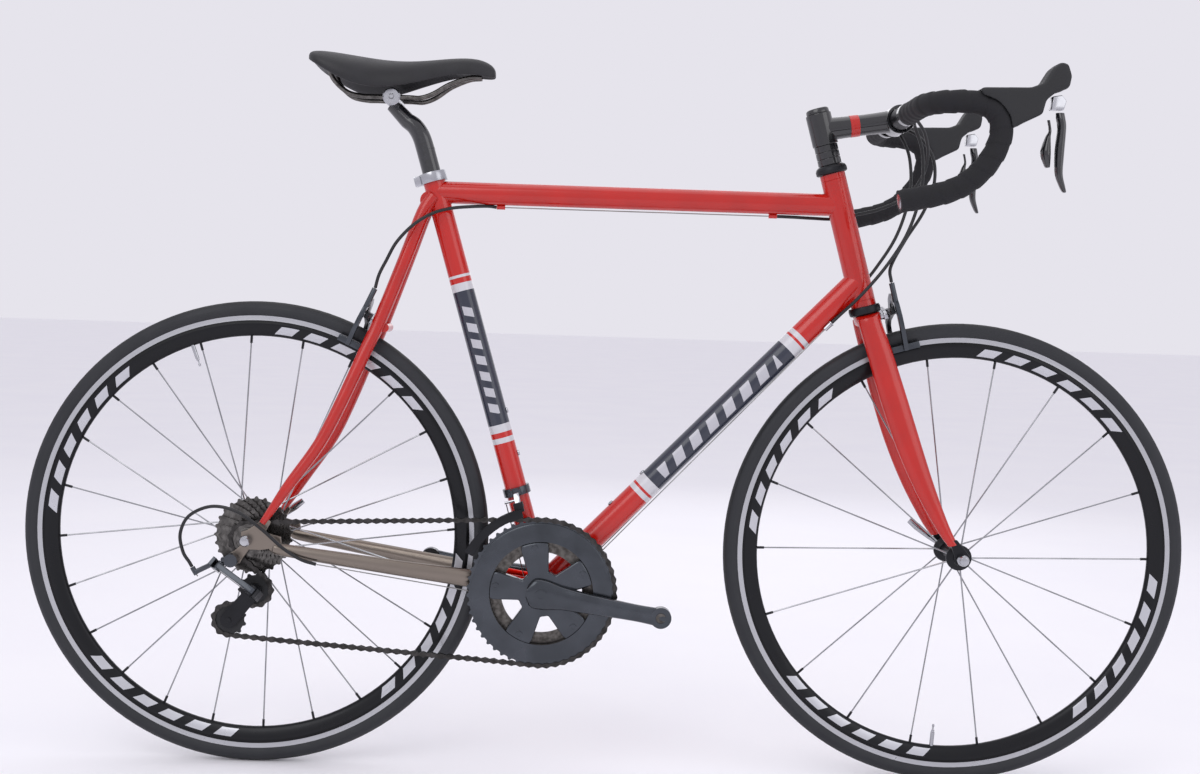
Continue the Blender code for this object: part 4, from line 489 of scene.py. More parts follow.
# stamped steel plated with nickel: a warm satin, darker where grease stays
NICKEL = Finish("nickel_plated_steel", "6e6c69", "4e4c4a", 0.3, metallic=1.0, grain_mm=0.5,
                grain_depth_mm=0.004, drift_mm=9)
# stamped and heat-blued link plates: dark steel that glints on its edges
CHAIN_STEEL = Finish("blued_chain_steel", "4b4948", "353433", 0.3, metallic=1.0, grain_mm=0.5,
                     grain_depth_mm=0.004, drift_mm=9)
# compression-moulded rubber: matt, with the mould's fine texture
MOULDED = Finish("moulded_black_rubber", "17181a", "1e1f22", 0.62, grain_mm=0.8, grain_depth_mm=0.03)
# extruded PVC over a steel coil: a soft, even sheen
HOUSING = Finish("black_cable_housing", "101113", "17181b", 0.4, grain_mm=0.7, grain_depth_mm=0.004)
# drawn and stranded stainless wire: bright, with a strand-like tooth drawn coarser than it is
WIRE = Finish("stainless_wire", "a8a8a6", "8a8a88", 0.3, metallic=1.0, grain_mm=0.4, grain_depth_mm=0.01)
# cork and foam tape: dry and matt, with granules under a millimetre
CORK = Finish("cork_bar_tape", "111114", "1b1b1f", 0.85, grain_mm=0.9, grain_depth_mm=0.10, drift_mm=12)
# wet-laid carbon under lacquer: near black, mottled tow by tow, with a deep gloss
CARBON = Finish("lacquered_carbon", "101114", "1a1b20", 0.2, coat=0.9, grain_mm=1.2, grain_depth_mm=0.002,
                drift_mm=3)
# coagulated microfibre stretched over foam: a low satin with a leather-like grain
COVER = Finish("microfibre_saddle_cover", "141417", "1c1c20", 0.5, grain_mm=0.7, grain_depth_mm=0.035,
               drift_mm=25)
# butted stainless wire, drawn smooth: thin bright lines
SPOKE_STEEL = Finish("stainless_spoke", "a4a5a8", "8c8d90", 0.24, metallic=1.0, grain_mm=0.5,
                     grain_depth_mm=0.002)
# matt wall paint rolled on boards: nearly even, very slightly uneven in gloss
FLOOR_PAINT = Finish("matt_floor_paint", "f6f5f8", "f4f3f7", 0.8, grain_mm=3, grain_depth_mm=0.02,
                     drift_mm=400)


def wheel_finishes(hub: Vector, name: str) -> tuple[WheelFinish, WheelFinish]:
    """The tyre's and rim's finishes for a wheel.

    Args:
        hub: The wheel's centre.
        name: Which wheel it is.

    Returns:
        The tyre's finish and the rim's.
    """
    # vulcanised rubber: matt near-black, darkest on the tread and in a line above the bead
    tyre = WheelFinish(f"{name}_tyre_rubber", "1a1c20", "212329", 0.6, grain_mm=0.9,
                       grain_depth_mm=0.04, hub=tuple(hub), bands=((0, "202226"), (0.3222, "16181b"),
                                                                   (0.3232, "1d1f24"), (0.3300, "15171a")))
    # extruded aluminium, anodised black, with the brake track machined bare
    rim = WheelFinish(f"{name}_rim_aluminium", "26272b", "2b2c31", 0.3, metallic=0.55, grain_mm=0.8,
                      grain_depth_mm=0.003, hub=tuple(hub),
                      bands=((0, "17181b"), (0.3045, "0f1012"), (0.3050, "b4b5b9"), (0.3150, "4b4c52")),
                      blocks=RimBlocks(0.2900, 0.3015, 44, 0.60, "c3c4c9"))
    return tyre, rim


# ---- modelling ----
def deselect() -> None:
    """Leaves edit mode and selects nothing."""
    if bpy.context.mode != "OBJECT":
        bpy.ops.object.mode_set(mode="OBJECT")
    bpy.ops.object.select_all(action="DESELECT")


def activate(piece: Piece) -> None:
    """Makes a piece the only selected object and the active one.

    Args:
        piece: The object.
    """
    deselect()
    piece.select_set(True)
    bpy.context.view_layer.objects.active = piece


def surface(name: str, rings: list[Ring], looped: bool = False, smooth: float = 40.0) -> Piece:
    """A closed skin through rings of points, shaped from a grid.

    Args:
        name: The piece's name.
        rings: Rings with the same number of points each.
        looped: True if the last ring joins the first, so there are no end caps.
        smooth: Edges sharper than this many degrees stay sharp.

    Returns:
        The new object.
    """
    deselect()
    rows = rings + rings[:1] if looped else rings
    columns = len(rings[0])
    bpy.ops.mesh.primitive_grid_add(x_subdivisions=columns, y_subdivisions=len(rows) - 1, size=1)
    piece = bpy.context.active_object
    piece.name = name
    flat = [c for ring in rows for point in [*ring, ring[0]] for c in point]
    piece.data.vertices.foreach_set("co", flat)
    bpy.ops.object.mode_set(mode="EDIT")
    bpy.ops.mesh.select_all(action="SELECT")
    bpy.ops.mesh.remove_doubles(threshold=1e-6)
    if not looped:
        bpy.ops.mesh.fill_holes(sides=0)
    bpy.ops.mesh.select_all(action="SELECT")
    bpy.ops.mesh.normals_make_consistent(inside=False)
    bpy.ops.object.mode_set(mode="OBJECT")
    bpy.ops.object.shade_smooth_by_angle(angle=math.radians(smooth))
    return piece


def basis(axis: Vector) -> tuple[Vector, Vector]:
    """Two unit directions across an axis."""
    side = axis.cross(Vector((0, 0, 1)) if abs(axis.z) < 0.9 else Y_AXIS).normalized()
    return side, axis.cross(side).normalized()


def spun(name: str, profile: Outline, centre: Vector, axis: Vector, steps: int = 48,
         looped: bool = False) -> Piece:
    """A turned piece.

    Args:
        name: The piece's name.
        profile: (radius, height) pairs along the outline.
        centre: The point that heights are counted from.
        axis: The axis of turning.
        steps: Flats round it.
        looped: True for a closed outline, such as a ring's section.

    Returns:
        The new object.
    """
    u, v = basis(axis.normalized())
    rings = []
    for radius, height in profile:
        rings.append([centre + axis * height + (u * math.cos(2 * math.pi * i / steps)
                      + v * math.sin(2 * math.pi * i / steps)) * max(radius, 1e-7) for i in range(steps)])
    return surface(name, rings, looped)


def smooth_path(points: list, steps: int) -> Ring:
    """Points on a smooth curve through the given ones.

    Args:
        points: The curve's own points.
        steps: New points for each stretch.

    Returns:
        The finer list.
    """
    pts = [Vector(p) for p in points]
    ends = [pts[0] * 2 - pts[1]] + pts + [pts[-1] * 2 - pts[-2]]
    path = []
    for a, b, c, d in zip(ends, ends[1:], ends[2:], ends[3:]):
        for i in range(steps):
            t = i / steps
            path.append(0.5 * ((2 * b) + (c - a) * t + (2 * a - 5 * b + 4 * c - d) * t * t
                               + (3 * b - a - 3 * c + d) * t ** 3))
    return path + [pts[-1]]


def path_frames(points: Ring) -> list[tuple[Vector, Vector, Vector]]:
    """Directions across a path that don't twist along it.

    Args:
        points: The path.

    Returns:
        Each point with two unit directions across the path there.
    """
    frames = []
    side = basis((points[1] - points[0]).normalized())[0]
    for i, point in enumerate(points):
        ahead = (points[min(i + 1, len(points) - 1)] - points[max(i - 1, 0)]).normalized()
        side = (side - ahead * side.dot(ahead)).normalized()
        frames.append((point, side, ahead.cross(side)))
    return frames


def pipe(name: str, points: Ring, radii: float | list[float], sides: int = 16) -> Piece:
    """A round bar along a path.

    Args:
        name: The piece's name.
        points: Its centreline.
        radii: One radius, or one for each point.
        sides: Flats round it.

    Returns:
        The new object.
    """
    sizes = [radii] * len(points) if isinstance(radii, float) else radii
    rings = []
    for (point, u, v), radius in zip(path_frames(points), sizes):
        rings.append([point + (u * math.cos(2 * math.pi * i / sides)
                               + v * math.sin(2 * math.pi * i / sides)) * radius for i in range(sides)])
    return surface(name, rings)


def slab(name: str, outline: Outline, thickness: float, matrix: Matrix, edge: float = 0.0) -> Piece:
    """A flat plate with rounded edges.

    Args:
        name: The piece's name.
        outline: Its outline in the plate's own plane.
        thickness: How thick it is, centred on that plane.
        matrix: Places the plane.
        edge: Size of the edge rounding.

    Returns:
        The new object.
    """
    rings = [[matrix @ Vector((x, y, h)) for x, y in outline] for h in (-thickness / 2, thickness / 2)]
    piece = surface(name, rings, smooth=30.0)
    if edge:
        rounded(piece, edge)
    return piece


def rounded(piece: Piece, width: float, angle: float = 35.0) -> Piece:
    """Rounds a piece's sharp edges with an applied bevel.

    Args:
        piece: The object.
        width: Size of the rounding.
        angle: Edges sharper than this many degrees are rounded.

    Returns:
        The same object.
    """
    bevel = piece.modifiers.new("edges", "BEVEL")
    bevel.width = width
    bevel.segments = 2
    bevel.limit_method = "ANGLE"
    bevel.angle_limit = math.radians(angle)
    bevel.use_clamp_overlap = True
    activate(piece)
    bpy.ops.object.modifier_apply(modifier=bevel.name)
    bpy.ops.object.shade_smooth_by_angle(angle=math.radians(angle))
    return piece


def merged_copy(node: str, name: str) -> Piece:
    """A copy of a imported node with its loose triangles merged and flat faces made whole.

    Args:
        node: The node's name.
        name: The new piece's name.

    Returns:
        The copy.
    """
    mesh = frame["nodes"][node].data.copy()
    piece = bpy.data.objects.new(name, mesh)
    bpy.context.scene.collection.objects.link(piece)
    activate(piece)
    bpy.ops.object.mode_set(mode="EDIT")
    bpy.ops.mesh.select_all(action="SELECT")
    bpy.ops.mesh.remove_doubles(threshold=2e-6)
    bpy.ops.mesh.dissolve_limited(angle_limit=math.radians(1.5))
    bpy.ops.object.mode_set(mode="OBJECT")
    return piece


def softened(piece: Piece, voxel: float, rounds: int) -> Piece:
    """Makes a blocky piece organic: an even remesh, then smoothing.

    Args:
        piece: The object.
        voxel: Size of the new faces.
        rounds: How many times it is smoothed.

    Returns:
        The same object.
    """
    activate(piece)
    remesh = piece.modifiers.new("skin", "REMESH")
    remesh.mode = "VOXEL"
    remesh.voxel_size = voxel
    smooth = piece.modifiers.new("soft", "SMOOTH")
    smooth.iterations = rounds
    smooth.factor = 0.5
    for modifier in ("skin", "soft"):
        bpy.ops.object.modifier_apply(modifier=modifier)
    bpy.ops.object.shade_smooth()
    return piece


def subdivided(piece: Piece, levels: int) -> Piece:
    """Applies Catmull-Clark subdivision.

    Args:
        piece: The object.
        levels: How many times each face is split.

    Returns:
        The same object.
    """
    activate(piece)
    modifier = piece.modifiers.new("curve", "SUBSURF")
    modifier.levels = levels
    modifier.render_levels = levels
    bpy.ops.object.modifier_apply(modifier=modifier.name)
    bpy.ops.object.shade_smooth()
    return piece


def joined(name: str, parts: list[Piece]) -> Piece:
    """Joins several pieces into one object.

    Args:
        name: The new object's name.
        parts: The pieces; the first one is kept and takes in the others.

    Returns:
        The joined object.
    """
    activate(parts[0])
    for part in parts:
        part.select_set(True)
    bpy.ops.object.join()
    piece = bpy.context.active_object
    piece.name = name
    return piece


def moved(piece: Piece, name: str, matrix: Matrix) -> Piece:
    """A copy of a piece with its own mesh.

    Args:
        piece: What is copied.
        name: The copy's name.
        matrix: Moves the copy's mesh; a mirroring one has its faces turned back out.

    Returns:
        The copy.
    """
    mesh = piece.data.copy()
    mesh.transform(matrix)
    if matrix.determinant() < 0:
        mesh.flip_normals()
    copy = bpy.data.objects.new(name, mesh)
    bpy.context.scene.collection.objects.link(copy)
    return copy


def frame_matrix(origin: Vector, x_dir: Vector, y_dir: Vector) -> Matrix:
    """A matrix that places local X and Y along the given directions.

    Args:
        origin: Where the local origin goes.
        x_dir: Direction of local X.
        y_dir: Roughly the direction of local Y, which is made square to X.

    Returns:
        The matrix.
    """
    x = Vector(x_dir).normalized()
    z = x.cross(Vector(y_dir)).normalized()
    return Matrix.Translation(origin) @ Matrix((x, z.cross(x), z)).transposed().to_4x4()


def polar(radius: float, angle: float, centre: tuple = (0, 0)) -> tuple[float, float]:
    """A point by its distance from a centre and its angle in degrees."""
    turn = math.radians(angle)
    return centre[0] + radius * math.cos(turn), centre[1] + radius * math.sin(turn)


def arc(radius: float, start: float, stop: float, count: int, centre: tuple = (0, 0)) -> Outline:
    """Points on an arc.

    Args:
        radius: Its radius.
        start: Its first angle, in degrees.
        stop: Its last angle, in degrees.
        count: How many stretches it has.
        centre: Its middle.

    Returns:
        The points, both ends included.
    """
    return [polar(radius, start + (stop - start) * i / count, centre) for i in range(count + 1)]


def dress(piece: Piece, finish: Finish, body: str, replaces: tuple[str, ...] = ()) -> Piece:
    """Gives a piece its finish and its place on a body.

    Args:
        piece: The finished mesh.
        finish: Its surface.
        body: The body that it rides on.
        replaces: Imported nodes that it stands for.

    Returns:
        The piece.
    """
    piece.data.materials.clear()
    piece.data.materials.append(finish.make())
    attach(piece, body)
    if replaces:
        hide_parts(*replaces)
    LOG.info("%s on %s", piece.name, body)
    return piece


def bolt(name: str, centre: Vector, axis: Vector, radius: float, height: float) -> Piece:
    """A socket-head screw: a domed head with a hexagon recess.

    Args:
        name: The piece's name.
        centre: Where the head meets its seat.
        axis: The way the head faces.
        radius: The head's radius.
        height: The head's height.

    Returns:
        The new object.
    """
    u, v = basis(axis.normalized())
    profile = [(radius, 0.0, 0), (radius, height * 0.75, 0), (radius * 0.85, height, 0),
               (radius * 0.55, height, 1), (radius * 0.55, height * 0.35, 1), (0.0, height * 0.3, 1)]
    rings = []
    for reach, up, hexed in profile:
        ring = []
        for i in range(24):
            angle = 2 * math.pi * i / 24
            swell = 1 / math.cos((angle % (math.pi / 3)) - math.pi / 6) * 0.9 if hexed else 1.0
            radial = u * math.cos(angle) + v * math.sin(angle)
            ring.append(centre + axis * up + radial * max(reach * swell, 1e-7))
        rings.append(ring)
    return surface(name, rings, smooth=30.0)


def ovals(rows: list[tuple[Vector, Vector, Vector]], sides: int = 24, power: float = 1.0) -> list[Ring]:
    """Rings of flattened circles.

    Args:
        rows: Each ring's centre and its two half-axes.
        sides: Points in a ring.
        power: 1 for ellipses, less for boxier ones.

    Returns:
        The rings.
    """
    rings = []
    for centre, u, v in rows:
        ring = []
        for i in range(sides):
            c, s = math.cos(2 * math.pi * i / sides), math.sin(2 * math.pi * i / sides)
            ring.append(centre + u * math.copysign(abs(c) ** power, c)
                        + v * math.copysign(abs(s) ** power, s))
        rings.append(ring)
    return rings


def eased(rows: list[tuple], steps: int) -> list[tuple]:
    """Rows of numbers made finer along a smooth curve.

    Args:
        rows: Rows of the same length.
        steps: New rows for each stretch.

    Returns:
        The finer rows, with the given ones among them.
    """
    ends = [rows[0]] + list(rows) + [rows[-1]]
    fine = []
    for a, b, c, d in zip(ends, ends[1:], ends[2:], ends[3:]):
        for i in range(steps):
            t = i / steps
            fine.append(tuple(0.5 * (2 * q + (r - p) * t + (2 * p - 5 * q + 4 * r - e) * t * t
                                     + (3 * q - p - 3 * r + e) * t ** 3) for p, q, r, e in zip(a, b, c, d)))
    return fine + [tuple(rows[-1])]


def refined(node: str, finish: Finish, body: str, edge: float = 0.6) -> Piece:
    """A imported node's shape with its edges rounded, in its own finish.

    Args:
        node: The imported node.
        finish: Its surface.
        body: The body that it rides on.
        edge: Size of the edge rounding, in millimetres.

    Returns:
        The dressed piece.
    """
    piece = rounded(merged_copy(node, node + "_finished"), edge * MM, 28.0)
    return dress(piece, finish, body, (node,))


def toothed(name: str, centre: Vector, teeth: int, half: float, inner: float, depth: float = 3.6) -> Piece:
    """A toothed ring.

    Args:
        name: The piece's name.
        centre: Its middle.
        teeth: How many teeth.
        half: Half its thickness.
        inner: The radius of its hole.
        depth: Height of a tooth, in millimetres.

    Returns:
        The new object.
    """
    pitch_radius = CHAIN_PITCH / (2 * math.sin(math.pi / teeth))
    tip, root = pitch_radius + 1.9 * MM, pitch_radius + (1.9 - depth) * MM
    outline = []
    for i in range(teeth):
        for share, radius in ((0.0, root), (0.22, root + 0.3 * MM), (0.40, tip - 0.3 * MM), (0.5, tip),
                              (0.60, tip - 0.3 * MM), (0.78, root + 0.3 * MM)):
            outline.append((2 * math.pi * (i + share) / teeth, radius))
    rings = []
    for offset, rim in ((-half, True), (half, True), (half, False), (-half, False)):
        rings.append([centre + Vector((math.cos(a) * (r if rim else inner), offset,
                                       math.sin(a) * (r if rim else inner))) for a, r in outline])
    return surface(name, rings, looped=True, smooth=30.0)


# ---- sub-assemblies ----
@dataclass
class Frameset:
    """The painted main tubes, stays, dropouts and fork.

    Attributes:
        tube: Outer radius of the seat and top tubes.
        seat_bore: Inner radius of the seat tube.
        down: Outer radius of the down tube.
        head: Outer radius of the head tube.
        head_bore: Its inner radius.
        stay_reach: Half the length of the bridges between the stays.
    """

    tube: float = 15.9 * MM
    seat_bore: float = 14.0 * MM
    down: float = 18.0 * MM
    head: float = 18.3 * MM
    head_bore: float = 15.3 * MM
    stay_reach: float = 24 * MM

    def build(self) -> None:
        """Builds every fixed frame piece and the fork."""
        self.head_and_seat_tubes()
        self.top_and_down_tubes()
        self.bottom_bracket()
        self.seat_stays()
        self.chain_stays()
        self.dropouts()
        self.fork()

    def head_and_seat_tubes(self) -> None:
        """Head tube with its two reinforcing ridges, and the banded seat tube."""
        low, high = 0.3706, 0.5660
        head = spun("head_tube_painted", [(self.head_bore, low), (self.head, low), (self.head, high),
                                          (self.head_bore, high)], HEAD_FOOT, HEAD_DIR, 64, looped=True)
        ridges = [spun("ridge", [(self.head, z), (self.head + 0.5 * MM, z + 0.4 * MM),
                                 (self.head, z + 0.8 * MM)], HEAD_FOOT, HEAD_DIR, 64)
                  for z in (0.3790, 0.5570)]
        dress(joined("head_tube_painted", [head] + ridges), ENAMEL, "frame", ("head_tube",))
        low, high = 0.0050, 0.608
        seat = spun("seat_tube_painted", [(self.seat_bore, 0.05), (self.seat_bore, high),
                                          (self.tube, high), (self.tube, low), (self.seat_bore, low)],
                    BB, SEAT_DIR, 64, looped=True)
        dress(seat, SEAT_ENAMEL, "frame", ("seat_tube",))

    def top_and_down_tubes(self) -> None:
        """Top tube with its brake cable stops, and the banded down tube with its shift cable stops."""
        top = pipe("top", [TOP_AT_SEAT + Vector((0.001, 0, 0)), TOP_AT_HEAD], self.tube, 64)
        stop_z, half = TOP_TUBE_Z - 18.6 * MM, 6 * MM
        stops = [pipe("stop", [Vector((x - half, 0, stop_z)), Vector((x + half, 0, stop_z))], 3.4 * MM, 16)
                 for x in (-0.1663, 0.225)]
        dress(joined("top_tube_painted", [top] + stops), ENAMEL, "frame", ("top_tube",))
        down = pipe("down_tube_painted", [BB + DOWN_DIR * 0.008, DOWN_TOP - DOWN_DIR * 0.001], self.down, 64)
        dress(down, DOWN_ENAMEL, "frame", ("down_tube",))
        profile = [(0, -7 * MM), (3.6 * MM, -6.4 * MM), (3.8 * MM, 5 * MM), (4.4 * MM, 5.5 * MM),
                   (4.4 * MM, 7 * MM), (0, 7 * MM)]
        stops = [spun("stop", profile, down_tube_stop(side), DOWN_DIR, 24) for side in (-1, 1)]
        dress(joined("down_tube_cable_stops", stops), POLISHED, "frame")

    def bottom_bracket(self) -> None:
        """The bracket shell with its cups, and the bottle cage screws above it."""
        bore, outer, half = 12.6 * MM, 20 * MM, 34 * MM
        profile = [(bore, half), (outer, half), (outer, -half), (bore, -half)]
        shell = spun("bottom_bracket_painted", profile, BB, Y_AXIS, 64, looped=True)
        dress(shell, ENAMEL, "frame", ("bottom_bracket_shell",))
        profile = [(12.5 * MM, 33.5 * MM), (20.6 * MM, 34.1 * MM), (20.9 * MM, 35 * MM),
                   (20.9 * MM, 40.5 * MM), (19.5 * MM, 41.3 * MM), (12.5 * MM, 41.3 * MM)]
        for side, name in SIDES:
            cup = spun(name + "_bottom_bracket_cup", profile, BB, Y_AXIS * side, 48, looped=True)
            dress(cup, ANODISED, "frame")
        bolts = [bolt("screw", on_seat(0.135 + d, self.tube + 0.3 * MM), SEAT_AHEAD, 4.2 * MM, 1.8 * MM)
                 for d in (0.064, 0.128)]
        seat = DOWN_UP * (self.down + 0.3 * MM)
        bolts += [bolt("screw", BB + DOWN_DIR * d + seat, DOWN_UP, 4.2 * MM, 1.8 * MM) for d in (0.157, 0.221)]
        dress(joined("bottle_cage_screws", bolts), POLISHED, "frame")

    def seat_stays(self) -> None:
        """Curved, tapering seat stays with the brake bridge and their joint behind the seat tube."""
        rows = [(-0.2620, 0.0100, 0.8300, 10.0), (-0.2763, 0.0125, 0.8061, 10.0),
                (-0.3000, 0.0165, 0.7400, 9.8), (-0.3345, 0.0250, 0.6469, 9.6),
                (-0.3528, 0.0330, 0.6036, 9.4), (-0.3825, 0.0450, 0.5319, 9.0),
                (-0.4104, 0.0540, 0.4736, 8.5), (-0.4493, 0.0640, 0.4159, 7.8),
                (-0.4715, 0.0672, 0.3815, 6.0), (-0.4850, 0.0690, 0.3610, 4.6)]
        fine = eased(rows, 5)
        radii = [r * MM for *_, r in fine]
        parts = [pipe("stay", [Vector((x, y * side, z)) for x, y, z, _ in fine], radii, 28)
                 for side in (-1, 1)]
        reach = Y_AXIS * self.stay_reach
        parts.append(pipe("bridge", [REAR_BRIDGE - reach, REAR_BRIDGE + reach], 6.8 * MM, 24))
        parts.append(pipe("cluster", [Vector((-0.268, y, 0.8235)) for y in (-0.013, 0.013)], 13.4 * MM, 32))
        dress(joined("seat_stays_painted", parts), ENAMEL, "frame", ("seat_stays",))

    def chain_stays(self) -> None:
        """Bare oval chain stays with the bridge behind the bottom bracket."""
        line = REAR_HUB + Vector((0, 0, -5.5 * MM)) - BB
        line.y = 0
        line.normalize()
        across = Vector((line.z, 0, -line.x))
        rows = eased([(0.016, 19.0, 13.8, 8.5), (0.085, 27.0, 13.8, 8.0), (0.110, 33.0, 13.0, 8.0),
                      (0.200, 48.0, 11.2, 8.5), (0.300, 59.0, 9.8, 8.0), (0.372, 66.0, 8.5, 6.5),
                      (0.384, 67.0, 6.0, 3.8), (0.388, 67.4, 3.6, 2.4)], 5)
        parts = [surface("stay", ovals([(BB + line * d + Y_AXIS * side * y * MM, across * h * MM,
                                         Y_AXIS * w * MM) for d, y, h, w in rows], 32)) for side in (-1, 1)]
        start, reach = BB + Vector((-0.060, 0, 9.5 * MM)), Y_AXIS * self.stay_reach
        parts.append(pipe("bridge", [start - reach, start + reach], 6 * MM, 24))
        dress(joined("chain_stays_bare", parts), TITANIUM, "frame", ("chain_stays",))

    def dropouts(self) -> None:
        """Both rear dropouts, the right one with its derailleur hanger."""
        plates = []
        for side in (-1, 1):
            centre = Vector((REAR_HUB.x, side * 67.8 * MM, REAR_HUB.z))
            plates.append(slab("dropout", dropout_outline(side), 5 * MM,
                               frame_matrix(centre, (1, 0, 0), (0, 0, 1)), 0.8 * MM))
        dress(joined("rear_dropouts", plates), TITANIUM, "frame")

    def fork(self) -> None:
        """One-piece arched fork with its crown and tips."""
        rows = [(0.3665, 0.6765, 16.5, 11.0, 20.0), (0.3690, 0.6655, 16.5, 11.2, 21.8),
                (0.3830, 0.6252, 18.0, 10.5, 26.2), (0.4040, 0.5620, 19.0, 9.8, 32.2),
                (0.4265, 0.4980, 17.8, 9.2, 38.2), (0.4520, 0.4350, 14.2, 8.2, 44.0),
                (0.4790, 0.3800, 9.5, 7.0, 49.0), (0.4940, 0.3560, 7.0, 6.0, 51.5)]
        parts = []
        for side in (-1, 1):
            rings = ovals([(Vector((x, side * y * MM, z)), HEAD_FRONT * a * MM, Y_AXIS * b * MM)
                           for x, z, a, b, y in eased(rows, 5)], 32)
            parts.append(surface("blade", rings))
        rows = [(0, 13, 25), (0.8, 16.5, 29), (3, 18, 31), (8, 18.6, 30.5), (12, 18.8, 24),
                (14.4, 19.2, 19.6)]
        crown = [(on_head(0.3435 + d * MM, 1 * MM), HEAD_FRONT * a * MM, Y_AXIS * b * MM) for d, a, b in rows]
        parts.append(surface("crown", ovals(crown, 48, 0.8)))
        dress(joined("fork_painted", parts), ENAMEL, "steering", ("fork",))
        steerer = pipe("steerer", [on_head(0.3455), on_head(0.6510)], 14.3 * MM, 32)
        tips, slot = [], 0.0048
        for side in (-1, 1):
            tip = [(-0.0200, 0.0280), (-0.0080, 0.0280), (0.0040, 0.0140), (0.0110, 0.0050),
                   (0.0100, -0.0060)]
            tip += [(slot, -0.0090)] + arc(slot, 0, 180, 10) + [(-slot, -0.0090)]
            tip += [(-0.0100, -0.0060), (-0.0110, 0.0060)]
            centre = FRONT_HUB + Y_AXIS * side * 53.3 * MM
            tips.append(slab("tip", tip, 6 * MM, frame_matrix(centre, (1, 0, 0), (0, 0, 1)), 0.9 * MM))
        dress(joined("fork_tips", tips + [steerer]), ANODISED, "steering")


def dropout_outline(side: int) -> Outline:
    """A rear dropout's outline round the hub's axis.

    Args:
        side: -1 for the right one, which has the derailleur hanger, and 1 for the left one.

    Returns:
        The outline, with the slot that the axle slides into.
    """
    slot = 0.0053
    outline = [(0.000, 0.014), (0.012, 0.022), (0.026, 0.034), (0.034, 0.026), (0.026, 0.012),
               (0.048, 0.006), (0.050, -0.008), (0.020, -0.0135), (0.004, -0.013)]
    if side < 0:
        hanger_x, hanger_z = -0.5254 - REAR_HUB.x, 0.3088 - REAR_HUB.z
        outline += [(hanger_x + 0.009, hanger_z - 0.006)] + arc(0.0095, -40, -220, 10, (hanger_x, hanger_z))
        outline += [(hanger_x + 0.002, hanger_z + 0.012)]
    else:
        outline += [(-0.004, -0.010)]
    return outline + [(-0.0052, -slot)] + arc(slot, -90, 90, 10) + [(-0.0075, slot), (-0.0075, 0.012)]


